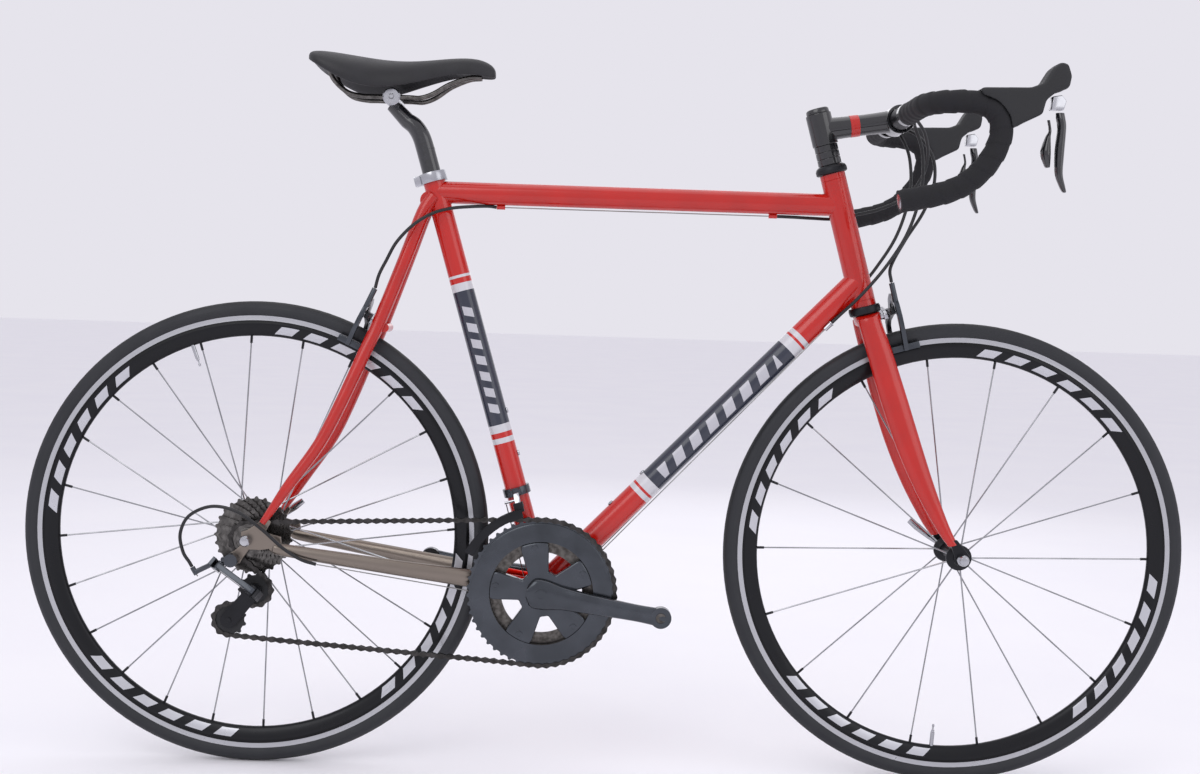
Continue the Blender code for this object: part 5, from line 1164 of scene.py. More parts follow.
@dataclass
class Cockpit:
    """Headset, stem, bar, tape, hoods and levers.

    Attributes:
        tape: Outer radius of the wrapped tape.
        wrap: Width of tape that each turn shows.
        step: How far a turn's edge stands over the one before.
    """

    tape: float = 15.45 * MM
    wrap: float = 21.0 * MM
    step: float = 1.25 * MM

    def build(self) -> None:
        """Builds the parts that steer the bicycle."""
        for node, profile in (("headset_lower", [(15.0, 370.3), (22.0, 370.3), (23.2, 366.5),
                                                 (22.6, 360.0), (20.5, 358.6), (15.0, 358.6)]),
                              ("headset_upper", [(15.0, 579.0), (17.5, 579.0), (21.0, 576.5),
                                                 (22.5, 573.0), (22.5, 568.0), (20.5, 566.4),
                                                 (15.0, 566.4)])):
            ring = spun(node + "_turned", [(r * MM, h * MM) for r, h in profile], HEAD_FOOT, HEAD_DIR,
                        48, looped=True)
            dress(rounded(ring, 0.5 * MM), ANODISED, "frame", (node,))
        self.stem()
        self.bar()
        for side, name in SIDES:
            self.tape_side(side, name)
        for side, name in SIDES:
            self.lever(side, name)

    def stem(self) -> None:
        """Stem body with spacers, cap, face plate and screws."""
        centre = on_head(STEM_HEIGHT)
        ahead = (BAR_CENTRE - centre).normalized()
        up = ahead.cross(Y_AXIS) * -1
        rows = eased([(2, 17.5, 17.5), (22, 16.0, 16.0), (60, 15.0, 15.0), (98, 16.0, 18.0)], 4)
        ellipses = [(centre + ahead * d * MM, up * h * MM, Y_AXIS * w * MM) for d, h, w in rows]
        body = surface("body", ovals(ellipses, 40))
        clamp = spun("clamp", [(14.5 * MM, 0.6082), (18.5 * MM, 0.6082), (18.5 * MM, 0.6540),
                               (14.5 * MM, 0.6540)], HEAD_FOOT, HEAD_DIR, 48, looped=True)
        cap = spun("cap", [(0, 0.6536), (16.8 * MM, 0.6540), (16.8 * MM, 0.6590), (15 * MM, 0.6618),
                           (0, 0.6620)], HEAD_FOOT, HEAD_DIR, 40)
        grip = spun("grip", [(16.1 * MM, -21 * MM), (20.5 * MM, -21 * MM), (20.5 * MM, 21 * MM),
                             (16.1 * MM, 21 * MM)], BAR_CENTRE, Y_AXIS, 48, looped=True)
        stem = joined("stem_painted", [rounded(p, 0.8 * MM) for p in (clamp, cap, grip)] + [body])
        dress(stem, GLOSS_BLACK, "steering", ("stem",))
        bore, outer = 14.6 * MM, 17 * MM
        spacers = [spun("spacer", [(bore, a), (outer, a), (outer, b), (bore, b)], HEAD_FOOT, HEAD_DIR,
                        48, looped=True) for a, b in ((0.5796, 0.5888), (0.5892, 0.5984), (0.5988, 0.6079))]
        dress(joined("headset_spacers", [rounded(s, 0.5 * MM) for s in spacers]), GLOSS_BLACK,
              "steering")
        screws = [bolt("screw", BAR_CENTRE + ahead * 18.8 * MM + up * u + Y_AXIS * y, ahead, 3.2 * MM,
                       1.8 * MM) for u in (-6 * MM, 6 * MM) for y in (-14 * MM, 14 * MM)]
        screws.append(bolt("screw", on_head(0.6618), HEAD_DIR, 4.5 * MM, 0.6 * MM))
        dress(joined("stem_screws", screws), STEEL, "steering")
        stripe = ovals([(centre + ahead * d * MM, up * (r + 0.25) * MM, Y_AXIS * (r + 0.25) * MM)
                        for d, r in ((40.0, 15.35), (40.1, 15.6), (52.9, 15.4), (53.0, 15.1))], 40)
        dress(surface("stem_stripe", stripe), ENAMEL, "steering")

    def half_bar(self) -> Ring:
        """The bar's centreline from the middle to the left end.

        Returns:
            Its own points, 15 of them round the drop.
        """
        side = [(0.0, 0.0, 150), (4.0, 0.0, 172), (16.0, 0.0, 192), (34.0, 0.0, 202.5), (52.0, -0.5, 205),
                (70.0, -4.0, 206), (84.0, -13.5, 207), (90.5, -29.0, 208), (89.0, -48.0, 209),
                (81.0, -68.0, 210), (68.0, -87.0, 211), (50.0, -103.5, 212), (30.0, -115.0, 213),
                (5.0, -123.0, 213.5), (-39.5, -132.5, 214)]
        points = [Vector((0, y, 0)) for y in (0.0, 0.022, 0.060, 0.062, 0.110)]
        points += [Vector((x, y, z)) * MM for x, z, y in side]
        return [BAR_CENTRE + p for p in points]

    def bar(self) -> None:
        """The drawn handlebar, thicker in the stem's clamp."""
        half = smooth_path(self.half_bar(), 4)
        whole = [Vector((p.x, -p.y, p.z)) for p in reversed(half)] + half[1:]
        thick, thin, taper_start, taper_end = 15.9, 11.6, 0.036, 0.046
        slope = 430  # millimetres of radius for each metre, so the taper ends at the thin radius
        radii = [(thick if abs(p.y) < taper_start else thin if abs(p.y) > taper_end
                  else thick - (abs(p.y) - taper_start) * slope) * MM for p in whole]
        dress(pipe("handlebar_drawn", whole, radii, 28), ANODISED, "steering",
              ("handlebar",))

    def tape_side(self, side: int, name: str) -> None:
        """One side's tape with its overlapping turns, finishing band and end plug.

        Args:
            side: 1 for the left, -1 for the right.
            name: left or right.
        """
        points = smooth_path([Vector((p.x, p.y * side, p.z)) for p in self.half_bar() if p.y >= 0.0619], 12)
        sides, lap = 28, 0.07
        rings, run, last = [], 0.0, points[0]
        for point, u, v in path_frames(points):
            run += (point - last).length
            last = point
            ring = []
            for i in range(sides):
                turn = (run / self.wrap + side * i / sides) % 1.0
                drop = self.step * (1 - turn) ** 1.4 if turn > lap else self.step * turn / lap
                angle = 2 * math.pi * i / sides
                ring.append(point + (u * math.cos(angle) + v * math.sin(angle)) * (self.tape - drop))
            rings.append(ring)
        wrapped = surface(name + "_bar_tape_wrapped", rings, smooth=60.0)
        dress(wrapped, CORK, "steering", (name + "_bar_tape",))
        band = spun(name + "_tape_band", [(15.2 * MM, 0), (15.9 * MM, 0.5 * MM), (15.9 * MM, 13 * MM),
                                          (15.2 * MM, 13.5 * MM)], points[0], Y_AXIS * side, 32)
        dress(band, GLOSS_BLACK, "steering")
        plug = spun(name + "_bar_plug", [(0, -0.2 * MM), (9 * MM, -0.1 * MM), (13.6 * MM, 0.6 * MM),
                                         (14.4 * MM, 2.5 * MM), (13 * MM, 4 * MM), (0, 4 * MM)],
                    points[-1], (points[-2] - points[-1]).normalized(), 32)
        dress(plug, POLISHED, "steering")

    def lever(self, side: int, name: str) -> None:
        """One side's hood, pivot block, brake blade and shift paddle.

        Args:
            side: 1 for the left, -1 for the right.
            name: left or right.
        """
        hood = softened(merged_copy(name + "_lever_hood", name + "_hood_moulded"), 1.5 * MM, 34)
        dress(hood, MOULDED, "steering", (name + "_lever_hood",))
        refined(name + "_lever_pivot_block", POLISHED, name + "_lever_block", 0.9)
        pivot = BAR_CENTRE + Vector((0.160, side * 206.64 * MM, -1.0 * MM))
        blade = [(6.0, -10.5, 5.5, 6.0), (7.2, -18.0, 5.8, 8.0), (9.0, -30.0, 5.5, 8.5),
                 (7.5, -62.0, 6.0, 8.5), (8.0, -88.0, 5.0, 7.5), (13.0, -104.0, 3.8, 6.0),
                 (16.0, -111.0, 2.6, 4.4), (16.5, -112.5, 1.2, 2.4)]
        paddle = [(-8.5, -20, 1.8, 3), (-6, -33, 1.8, 3), (-8.5, -42, 3.5, 6), (-10.5, -62, 6.5, 9.5),
                  (-7.5, -79, 3.5, 6), (-7.0, -80, 2.0, 4)]
        for rows, sides, ending, node, finish, slot in (
                (blade, 28, "_brake_blade", name + "_brake_lever", CARBON, "carbon_fibre"),
                (paddle, 24, "_shift_blade", name + "_shift_paddle", GLOSS_BLACK, "black_anodised")):
            rings = ovals([(pivot + Vector((x, 0, z)) * MM, Vector((a * MM, 0, 0)), Vector((0, b * MM, 0)))
                           for x, z, a, b in eased(rows, 5)], sides)
            dress(surface(name + ending, rings), finish, node, (node,))


@dataclass
class Saddle:
    """Seatpost, collar, rails and the padded saddle.

    Attributes:
        height: The saddle's highest level.
        nose: Where its nose is, along X.
        length: From nose to tail.
        rail: Radius of a rail.
    """

    height: float = 1.0285
    nose: float = -0.1775
    length: float = 0.265
    rail: float = 3.5 * MM

    def build(self) -> None:
        """Builds the seat."""
        refined("seatpost_collar", POLISHED, "frame", 0.7)
        self.post()
        self.rails()
        self.cover()

    def post(self) -> None:
        """The carbon seatpost with its bent neck, and the rail clamp on it."""
        low = 0.608
        rows = eased([(-115, 0, 13.6), (30, 0, 13.6), (45, 0, 13.6), (66, -1.0, 13.4), (82, -6.0, 12.8),
                      (92, -14.0, 11.8)], 5)
        points = [on_seat(low + a * MM, b * MM) for a, b, _ in rows] + [Vector((-0.3255, 0, 0.9585))]
        post = pipe("seatpost_moulded", points, [r * MM for *_, r in rows] + [10 * MM], 40)
        dress(post, CARBON, "seatpost", ("seatpost",))
        clamp = Vector((-0.3235, 0, 0.9665))
        cradle = spun("cradle", [(0, -31 * MM), (10.5 * MM, -31 * MM), (12.5 * MM, -29 * MM),
                                 (12.5 * MM, 29 * MM), (10.5 * MM, 31 * MM), (0, 31 * MM)], clamp,
                      Y_AXIS, 32)
        screws = [bolt("screw", clamp + Y_AXIS * 30.5 * MM * s, Y_AXIS * s, 5 * MM, 0.5 * MM)
                  for s in (-1, 1)]
        dress(joined("rail_clamp", [cradle] + screws), POLISHED, "seatpost")

    def rails(self) -> None:
        """Both bent rails."""
        rails = []
        for s in (-1, 1):
            points = [(-0.1990, 6, 1.0005), (-0.2170, 9, 0.9985), (-0.2430, 14, 0.9880),
                      (-0.2650, 19.5, 0.9735), (-0.2830, 22, 0.9665), (-0.3000, 22, 0.9665),
                      (-0.3500, 22, 0.9665), (-0.3640, 22, 0.9665), (-0.3860, 24, 0.9710),
                      (-0.4040, 28, 0.9860), (-0.4110, 30, 1.0000)]
            line = smooth_path([Vector((x, y * s * MM, z)) for x, y, z in points], 5)
            rails.append(pipe("rail", line, self.rail, 16))
        dress(joined("saddle_rails_bent", rails), NICKEL, "seatpost", ("saddle_rails",))

    def cover(self) -> None:
        """The padded top with its skirts, by subdivision of a coarse shell."""
        rings = []
        for share, half, top, skirt, under in (
                (0.004, 7, -18.5, -27, -26), (0.020, 12.5, -10.0, -29, -23.5), (0.080, 18.3, -1.6, -28, -20),
                (0.180, 20.4, 0.2, -25, -19), (0.320, 24.4, -4.2, -34, -19), (0.460, 34.6, -8.6, -46, -20),
                (0.600, 54.8, -8.1, -56, -21), (0.740, 68, -3.6, -54, -20), (0.870, 69.8, 0.3, -37, -19),
                (0.960, 61, 0.8, -22, -16), (0.996, 40, -3.0, -14, -13)):
            x = self.nose - self.length * share
            drop = top - skirt
            side = [(0.0, top), (0.45, top - 0.05 * drop), (0.82, top - 0.24 * drop),
                    (1.0, top - 0.60 * drop), (0.99, skirt), (0.86, skirt + 0.05 * drop),
                    (0.60, under - 0.1 * drop), (0.0, under)]
            loop = side + [(-u, z) for u, z in side[-2:0:-1]]
            rings.append([Vector((x, half * u * MM, self.height + z * MM)) for u, z in loop])
        cover = subdivided(surface("saddle_cover", rings), 3)
        dress(cover, COVER, "seatpost", ("saddle",))


class Lacing(Enum):
    """How a wheel's spokes leave the hub."""

    RADIAL = "straight out"
    CROSSED = "at a slant, leading and trailing by turns"


@dataclass
class Wheel:
    """A whole wheel: tyre, rim, hub, spokes, nipples and valve.

    Attributes:
        name: front or rear.
        hub: Its centre.
        valve: Where the valve stands, in degrees.
        lacing: How its spokes run.
        steps: Flats round the tyre and rim.
        spoke_end: Radius at which the spokes end in the rim.
        valve_foot: Radius at which the valve stands on the rim.
    """

    name: str
    hub: Vector
    valve: float
    lacing: Lacing
    steps: int = 128
    spoke_end: float = 287.5 * MM
    valve_foot: float = 289 * MM

    def build(self) -> None:
        """Builds the wheel's pieces."""
        self.tyre_and_rim()
        self.hub_shell()
        self.spokes()
        self.valve_stem()
        fixed = "steering" if self.name == "front" else "frame"
        refined(self.name + "_axle", POLISHED, fixed, 0.5)
        refined(self.name + "_skewer_lever", POLISHED, self.name + "_skewer_lever", 0.5)

    def tyre_and_rim(self) -> None:
        """The tyre on a rim with bare braking bands."""
        tyre_finish, rim_finish = wheel_finishes(self.hub, self.name)
        middle, section = 323.5, 12.45
        tyre = [((middle + section * math.cos(math.radians(a))) * MM,
                 section * math.sin(math.radians(a)) * MM) for a in range(-132, 133, 11)]
        dress(spun(self.name + "_tyre_moulded", tyre, self.hub, Y_AXIS, self.steps, looped=True), tyre_finish,
              self.name + "_wheel", (self.name + "_tyre",))
        half = [(286.0, 0.0), (286.3, 2.2), (288.5, 4.6), (292.5, 6.6), (298.0, 8.6), (302.5, 9.6),
                (305.2, 9.55), (305.7, 9.3), (314.0, 9.3), (316.4, 9.6), (317.0, 9.2), (317.0, 8.0),
                (312.0, 7.4)]
        outline = half + [(r, -h) for r, h in half[:0:-1]]
        rim = spun(self.name + "_rim_extruded", [(r * MM, h * MM) for r, h in outline], self.hub,
                   Y_AXIS, self.steps, looped=True)
        dress(rim, rim_finish, self.name + "_wheel", (self.name + "_rim",))

    def hub_shell(self) -> None:
        """The turned hub: even flanges in front, a freewheel seat and a larger drive flange behind."""
        if self.lacing is Lacing.RADIAL:
            half = [(5.2, 49.2), (9, 49.2), (9.4, 41), (12.5, 39.6), (18.3, 38.5), (18.5, 37.9), (18.5, 35.4),
                    (18, 35), (12.5, 34), (10.2, 32), (9.2, 22), (9, 0)]
            outline = half + [(r, -h) for r, h in half[-2::-1]]
        else:
            outline = [(5.7, 64.2), (9.5, 64.2), (10, 52), (12, 41), (14, 38.5), (19.8, 37), (20, 36.6),
                       (20, 33.8), (19.6, 33.5), (12.6, 31.0), (11.8, 10), (14, -13), (27.6, -16.5),
                       (28, -17), (28, -19.6), (27.6, -20), (15, -22.5), (5.7, -22.5)]
        hub = spun(self.name + "_hub_shell", [(r * MM, h * MM) for r, h in outline], self.hub, Y_AXIS,
                   48, looped=True)
        dress(hub, ANODISED, self.name + "_wheel", (self.name + "_hub_and_spokes",))

    def spoke_plan(self) -> list[tuple[float, float, float, float, float]]:
        """Where each spoke runs.

        Returns:
            For each spoke its flange's Y, the radius that it leaves at, its angles in degrees at the hub
            and the rim, and how far it stands outside the flange.
        """
        if self.lacing is Lacing.RADIAL:
            return [((36.5 if i % 2 else -36.5) * MM, 15.5 * MM, i * 20.0, i * 20.0, 0.0) for i in range(18)]
        plan = []
        for i in range(24):
            lead = 1 if (i // 2) % 2 else -1
            drive = i % 2 == 0
            rim_angle = 15 * i + 2.7
            plan.append(((-18.25 if drive else 35.25) * MM, (25.2 if drive else 17.6) * MM,
                         rim_angle + lead * 60, rim_angle, lead * 1.4 * MM))
        return plan

    def spokes(self) -> None:
        """Butted spokes with their nipples in the rim."""
        wires, nipples = [], []
        for flange_y, radius, start, stop, lateral in self.spoke_plan():
            a, b = math.radians(start), math.radians(stop)
            first = self.hub + Vector((radius * math.cos(a), flange_y + lateral, radius * math.sin(a)))
            last = self.hub + Vector((self.spoke_end * math.cos(b), lateral * 0.1,
                                      self.spoke_end * math.sin(b)))
            ahead = (last - first).normalized()
            wires.append(pipe("spoke", [first, first.lerp(last, 0.06), first.lerp(last, 0.94), last],
                              [1.3 * MM, 1.1 * MM, 1.1 * MM, 1.25 * MM], 8))
            nipples.append(pipe("nipple", [last - ahead * 12 * MM, last - ahead * 11.6 * MM, last],
                                [1.2 * MM, 1.9 * MM, 1.9 * MM], 8))
        dress(joined(self.name + "_spokes", wires), SPOKE_STEEL, self.name + "_wheel")
        dress(joined(self.name + "_nipples", nipples), ANODISED, self.name + "_wheel")

    def valve_stem(self) -> None:
        """The tube's narrow valve with its core and nut."""
        angle = math.radians(self.valve)
        inward = Vector((-math.cos(angle), 0, -math.sin(angle)))
        profile = [(0, -2), (3, -2), (3, 22), (2.4, 22.5), (2.4, 25), (1.2, 26), (1.2, 30), (2.0, 31),
                   (1.6, 34), (0, 34.5)]
        valve = spun(self.name + "_valve", [(r * MM, h * MM) for r, h in profile],
                     self.hub - inward * self.valve_foot, inward, 20)
        dress(valve, POLISHED, self.name + "_wheel")


class Turn(Enum):
    """Which way the chain's path turns round a toothed wheel, seen from the drive side."""

    CLOCKWISE = -1
    COUNTER = 1


@dataclass
class Drivetrain:
    """Cassette, chain, rings, cranks and both derailleurs.

    Attributes:
        cog_y: Where the smallest sprocket's middle is, across the bicycle.
        cog_step: From one sprocket to the next.
        ring_y: Where the large chainring's middle is.
        inner_y: Where the small chainring's middle is.
        crank_dip: How far the right crank points below level, in radians.
    """

    cog_y: float = -60.3 * MM
    cog_step: float = 3.95 * MM
    ring_y: float = -47.0 * MM
    inner_y: float = -40.5 * MM
    crank_dip: float = math.radians(8.7)

    def build(self) -> None:
        """Builds every driven part."""
        self.cassette()
        self.rings()
        for side, name in SIDES:
            self.crank(side, name)
        self.chain()
        for node, finish, body, slot in (
                ("rear_derailleur_mount", FORGED, "derailleur_mount", "grey_forged_aluminium"),
                ("rear_derailleur_outer_link", FORGED, "derailleur_outer_link", "grey_forged_aluminium"),
                ("rear_derailleur_inner_link", ANODISED, "derailleur_inner_link", "grey_forged_aluminium"),
                ("rear_derailleur_knuckle", ANODISED, "derailleur_knuckle", "black_anodised"),
                ("rear_derailleur_cage", ANODISED, "derailleur_cage", "black_anodised"),
                ("front_derailleur_clamp", FORGED, "frame", "grey_forged_aluminium"),
                ("front_derailleur_link", POLISHED, "front_derailleur_link", "polished_aluminium"),
                ("front_derailleur_cage", ANODISED, "front_derailleur_cage", "black_anodised")):
            refined(node, finish, body, 0.5)
        for centre, name in ((GUIDE, "guide_pulley"), (TENSION, "tension_pulley")):
            wheel = toothed("teeth", centre, 11, 1.1 * MM, 5.5 * MM)
            hub = spun("hub", [(2.8 * MM, -3.8 * MM), (6.2 * MM, -3.8 * MM), (6.2 * MM, 3.8 * MM),
                               (2.8 * MM, 3.8 * MM)], centre, Y_AXIS, 24, looped=True)
            dress(joined(name + "_moulded", [wheel, rounded(hub, 0.4 * MM)]), MOULDED,
                  name, (name,))

    def cassette(self) -> None:
        """Ten sprockets, their carrier and the lock ring."""
        cogs = []
        for i, count in enumerate((12, 13, 14, 15, 17, 19, 21, 23, 25, 27)):
            centre = REAR_HUB + Y_AXIS * (self.cog_y + i * self.cog_step)
            cogs.append(toothed("cog", centre, count, 0.85 * MM, (17.0 if count < 21 else count * 1.25) * MM))
        carrier = spun("carrier", [(6 * MM, -60 * MM), (17.6 * MM, -60 * MM), (17.8 * MM, -24.2 * MM),
                                   (6 * MM, -24.2 * MM)], REAR_HUB, Y_AXIS, 48, looped=True)
        lock = spun("lock", [(6 * MM, -63.2 * MM), (14.5 * MM, -63.2 * MM), (16 * MM, -62.6 * MM),
                             (16 * MM, -61 * MM), (6 * MM, -61 * MM)], REAR_HUB, Y_AXIS, 48, looped=True)
        dress(joined("cassette_sprockets", cogs + [carrier, lock]), NICKEL, "cassette",
              ("cassette",))

    def rings(self) -> None:
        """Both chainrings; their fixing bolts are made with the spider."""
        outer = toothed("outer", BB + Y_AXIS * self.ring_y, 52, 1.1 * MM, 75.5 * MM)
        band = spun("band", [(74.2 * MM, 52.8 * MM), (98 * MM, 51.6 * MM), (100.3 * MM, 50.6 * MM),
                             (100.4 * MM, 46.3 * MM), (74.2 * MM, 46.3 * MM)], BB, -Y_AXIS, 96, looped=True)
        dress(joined("large_chainring_forged", [outer, band]), FORGED, "crankset",
              ("large_chainring",))
        inner = toothed("small_chainring_cut", BB + Y_AXIS * self.inner_y, 39, 1.1 * MM, 58 * MM)
        dress(inner, STEEL, "crankset", ("small_chainring",))

    def crank(self, side: int, name: str) -> None:
        """One forged crank with its eye, the right one with the spider and the axle.

        Args:
            side: 1 for the left, -1 for the right.
            name: left or right.
        """
        angle = -self.crank_dip if side < 0 else math.pi - self.crank_dip
        along = Vector((math.cos(angle), 0, math.sin(angle)))
        across = along.cross(Y_AXIS)
        rows = eased([(-21.0, 56, 8, 9), (-12, 56, 20.5, 10), (6, 56, 21.5, 10), (30, 57.5, 17, 9.5),
                      (70, 62.5, 14.2, 8.5), (135, 65.5, 12, 7), (CRANK_LENGTH_MM, 67, 12.5, 6.5),
                      (184.5, 67, 7, 6.4)], 5)
        rings = ovals([(BB + along * d * MM + Y_AXIS * side * y * MM, across * h * MM, Y_AXIS * w * MM)
                       for d, y, h, w in rows], 32, 0.75)
        eye = BB + along * CRANK_LENGTH_MM * MM
        ring = spun("eye", [(7.1 * MM, 60.5 * MM), (15 * MM, 60.5 * MM), (15 * MM, 73 * MM),
                            (14.5 * MM, 73.5 * MM), (7.6 * MM, 73.5 * MM), (7.1 * MM, 73 * MM)], eye,
                    Y_AXIS * side, 40, looped=True)
        thread = spun(name + "_pedal_thread", [(0, 73.42 * MM), (7.0 * MM, 73.46 * MM), (7.0 * MM, 73.2 * MM),
                                               (0, 73.2 * MM)], eye, Y_AXIS * side, 32)
        parts = [surface("arm", rings), ring]
        if side < 0:
            parts.append(pipe("axle", [BB - Y_AXIS * 50 * MM, BB + Y_AXIS * 48 * MM], 12 * MM, 40))
            parts.append(self.spider(angle))
        dress(joined(name + "_crank_forged", parts), FORGED, "crankset",
              (name + "_crank",))
        dress(thread, STEEL, "crankset")

    def spider(self, angle: float) -> Piece:
        """The five-armed plate that carries the rings, and its bolts.

        Args:
            angle: The right crank's direction, in radians.

        Returns:
            The plate, not yet dressed; the bolts are a dressed piece of their own.
        """
        foot, edge, gullet = 73.6 * MM, 68 * MM, 33 * MM
        outline = []
        for i in range(5):
            middle = math.degrees(angle) + 36 + 72 * i
            outline += arc(foot, middle - 15, middle + 15, 8) + [polar(edge, middle + 17)]
            outline += arc(gullet, middle + 26, middle + 46, 5) + [polar(edge, middle + 55)]
        plate = slab("spider", outline, 13 * MM, frame_matrix(BB - Y_AXIS * 48.5 * MM, (1, 0, 0),
                                                              (0, 0, 1)), 2.0 * MM)
        bolts = []
        for i in range(5):
            a = angle + math.radians(36 + 72 * i)
            at = BB + Vector((math.cos(a), 0, math.sin(a))) * 66 * MM - Y_AXIS * 54.9 * MM
            bolts.append(bolt("screw", at, -Y_AXIS, 5.2 * MM, 1.2 * MM))
        bolts.append(bolt("screw", BB - Y_AXIS * 65.6 * MM, -Y_AXIS, 9 * MM, 1.2 * MM))
        dress(joined("chainring_bolts", bolts), FORGED, "crankset")
        return plate

    def path(self) -> Ring:
        """The chain's loop round both pulleys, the smallest sprocket and the large ring.

        Returns:
            Points about a pitch apart, as (x, z), an even number of them.
        """
        wheels = [(REAR_HUB, 12, Turn.CLOCKWISE), (BB, 52, Turn.CLOCKWISE), (TENSION, 11, Turn.CLOCKWISE),
                  (GUIDE, 11, Turn.COUNTER)]
        sizes = [(c.x, c.z, CHAIN_PITCH / (2 * math.sin(math.pi / n)), t.value) for c, n, t in wheels]
        touch = []
        for i, (x1, z1, r1, s1) in enumerate(sizes):
            x2, z2, r2, s2 = sizes[(i + 1) % 4]
            base = math.atan2(z2 - z1, x2 - x1)
            angle = base - math.asin((s2 * r2 - s1 * r1) / math.hypot(x2 - x1, z2 - z1))
            left = Vector((-math.sin(angle), math.cos(angle)))
            touch.append((Vector((x1, z1)) - left * s1 * r1, Vector((x2, z2)) - left * s2 * r2))
        line = []
        for i, (x, z, r, s) in enumerate(sizes):
            arrive, leave = touch[i - 1][1], touch[i][0]
            start = math.atan2(arrive.y - z, arrive.x - x)
            sweep = (s * (math.atan2(leave.y - z, leave.x - x) - start)) % (2 * math.pi)
            for k in range(41):
                a = start + s * sweep * k / 40
                line.append(Vector((x + r * math.cos(a), z + r * math.sin(a))))
        line.append(line[0])
        total = sum((b - a).length for a, b in zip(line, line[1:]))
        count = 2 * round(total / CHAIN_PITCH / 2)
        step, stations, run, wanted = total / count, [], 0.0, 0.0
        for a, b in zip(line, line[1:]):
            length = (b - a).length
            while wanted <= run + length + 1e-9 and len(stations) < count:
                stations.append(a.lerp(b, (wanted - run) / max(length, 1e-9)))
                wanted += step
            run += length
        return stations

    def on_chain_line(self, point: Vector) -> Vector:
        """A point of the chain's loop at its place across the bicycle, between sprocket and ring.

        Args:
            point: The point as (x, z).

        Returns:
            The point in space.
        """
        back, front = REAR_HUB.x + 0.045, BB.x - 0.070
        share = min(1, max(0, (point.x - back) / (front - back)))
        return Vector((point.x, self.cog_y + (self.ring_y - self.cog_y) * share, point.y))

    def chain(self) -> None:
        """Outer and inner link plates with rollers, each a copy of one modelled link."""
        outline = (arc(3.9 * MM, 60, 300, 6) + [(CHAIN_PITCH / 2, -1.9 * MM)]
                   + arc(3.9 * MM, -120, 120, 6, (CHAIN_PITCH, 0)) + [(CHAIN_PITCH / 2, 1.9 * MM)])
        links = []
        for width in (1.95, 2.75):
            plates = [slab("plate", outline, 0.7 * MM, Matrix.Translation((0, 0, s * width * MM)))
                      for s in (-1, 1)]
            plates.append(pipe("roller", [Vector((0, 0, -2.9 * MM)), Vector((0, 0, 2.9 * MM))], 1.9 * MM, 8))
            links.append(joined("link", plates))
        stations = self.path()
        copies = []
        for i, point in enumerate(stations):
            start = self.on_chain_line(point)
            ahead = self.on_chain_line(stations[(i + 1) % len(stations)]) - start
            copies.append(moved(links[i % 2], "link_copy", frame_matrix(start, ahead, Y_AXIS.cross(ahead))))
        for link in links:
            bpy.data.objects.remove(link)
        dress(joined("chain_links", copies), CHAIN_STEEL, "frame", ("chain",))


@dataclass
class Brake:
    """A dual-pivot caliper's arms, pivot plate and pads.

    Attributes:
        name: front or rear.
        axes: The caliper's own frame.
        side: 1 if it stands ahead of its bolt, -1 behind.
        start: How far out its pivot plate starts.
        body: What it is bolted to.
        plate: Thickness of the pivot plate.
        gap: Room between its layers.
        arm: Thickness of each arm.
    """

    name: str
    axes: Matrix
    side: int
    start: float
    body: str
    plate: float = 6 * MM
    gap: float = 0.9 * MM
    arm: float = 6.2 * MM

    def at(self, across: float, up: float, out: float) -> Vector:
        """A point by its place across and up the caliper and how far it stands out from the bolt's seat."""
        return self.axes @ Vector((across, up, self.side * out))

    def build(self) -> None:
        """Builds the caliper."""
        refined(self.name + "_brake_adjuster_arm", FORGED, self.name
                + "_brake_adjuster_arm", 0.8)
        refined(self.name + "_brake_anchor_arm", ANODISED, self.name + "_brake_anchor_arm",
                0.8)
        fixed = self.start + self.plate / 2
        outer = self.start + self.plate + self.gap + self.arm + self.gap + self.arm
        mount = pipe("bolt", [self.at(0, 0, 3 * MM), self.at(0, 0, fixed)], 5.5 * MM, 24)
        outline = [(-7.5, -5.5), (-2, -6.8), (4, -5.2), (17, 0.2), (20.5, 3.5), (20, 9.5), (15, 12.6),
                   (9, 11.2), (-2, 6.2), (-8, 1.5)]
        plate = slab("plate", [(x * MM, y * MM) for x, y in outline], self.plate,
                     self.axes @ Matrix.Translation((0, 0, self.side * fixed)), 0.8 * MM)
        parts = [mount, plate]
        for u, v, size in ((0, 0, 5.0), (14 * MM, 6 * MM, 4.5)):
            seat = self.at(u, v, outer)
            parts.append(bolt("screw", seat, self.axes.col[2].xyz * self.side, size * MM, 2.4 * MM))
            parts.append(pipe("pin", [self.at(u, v, fixed), seat], 2.4 * MM, 16))
        dress(joined(self.name + "_brake_mount", parts), POLISHED, self.body)

    def wire_ends(self) -> tuple[Vector, Vector]:
        """Where the brake's bare wire runs.

        Returns:
            Its ends in the adjuster and under the anchor bolt.
        """
        anchor = self.start + self.plate + self.gap + self.arm / 2
        adjuster = self.start + self.plate + self.gap + self.arm + self.gap + self.arm / 2
        return self.at(-28 * MM, 45 * MM, adjuster), self.at(-25 * MM, 10.8 * MM, anchor + 1 * MM)


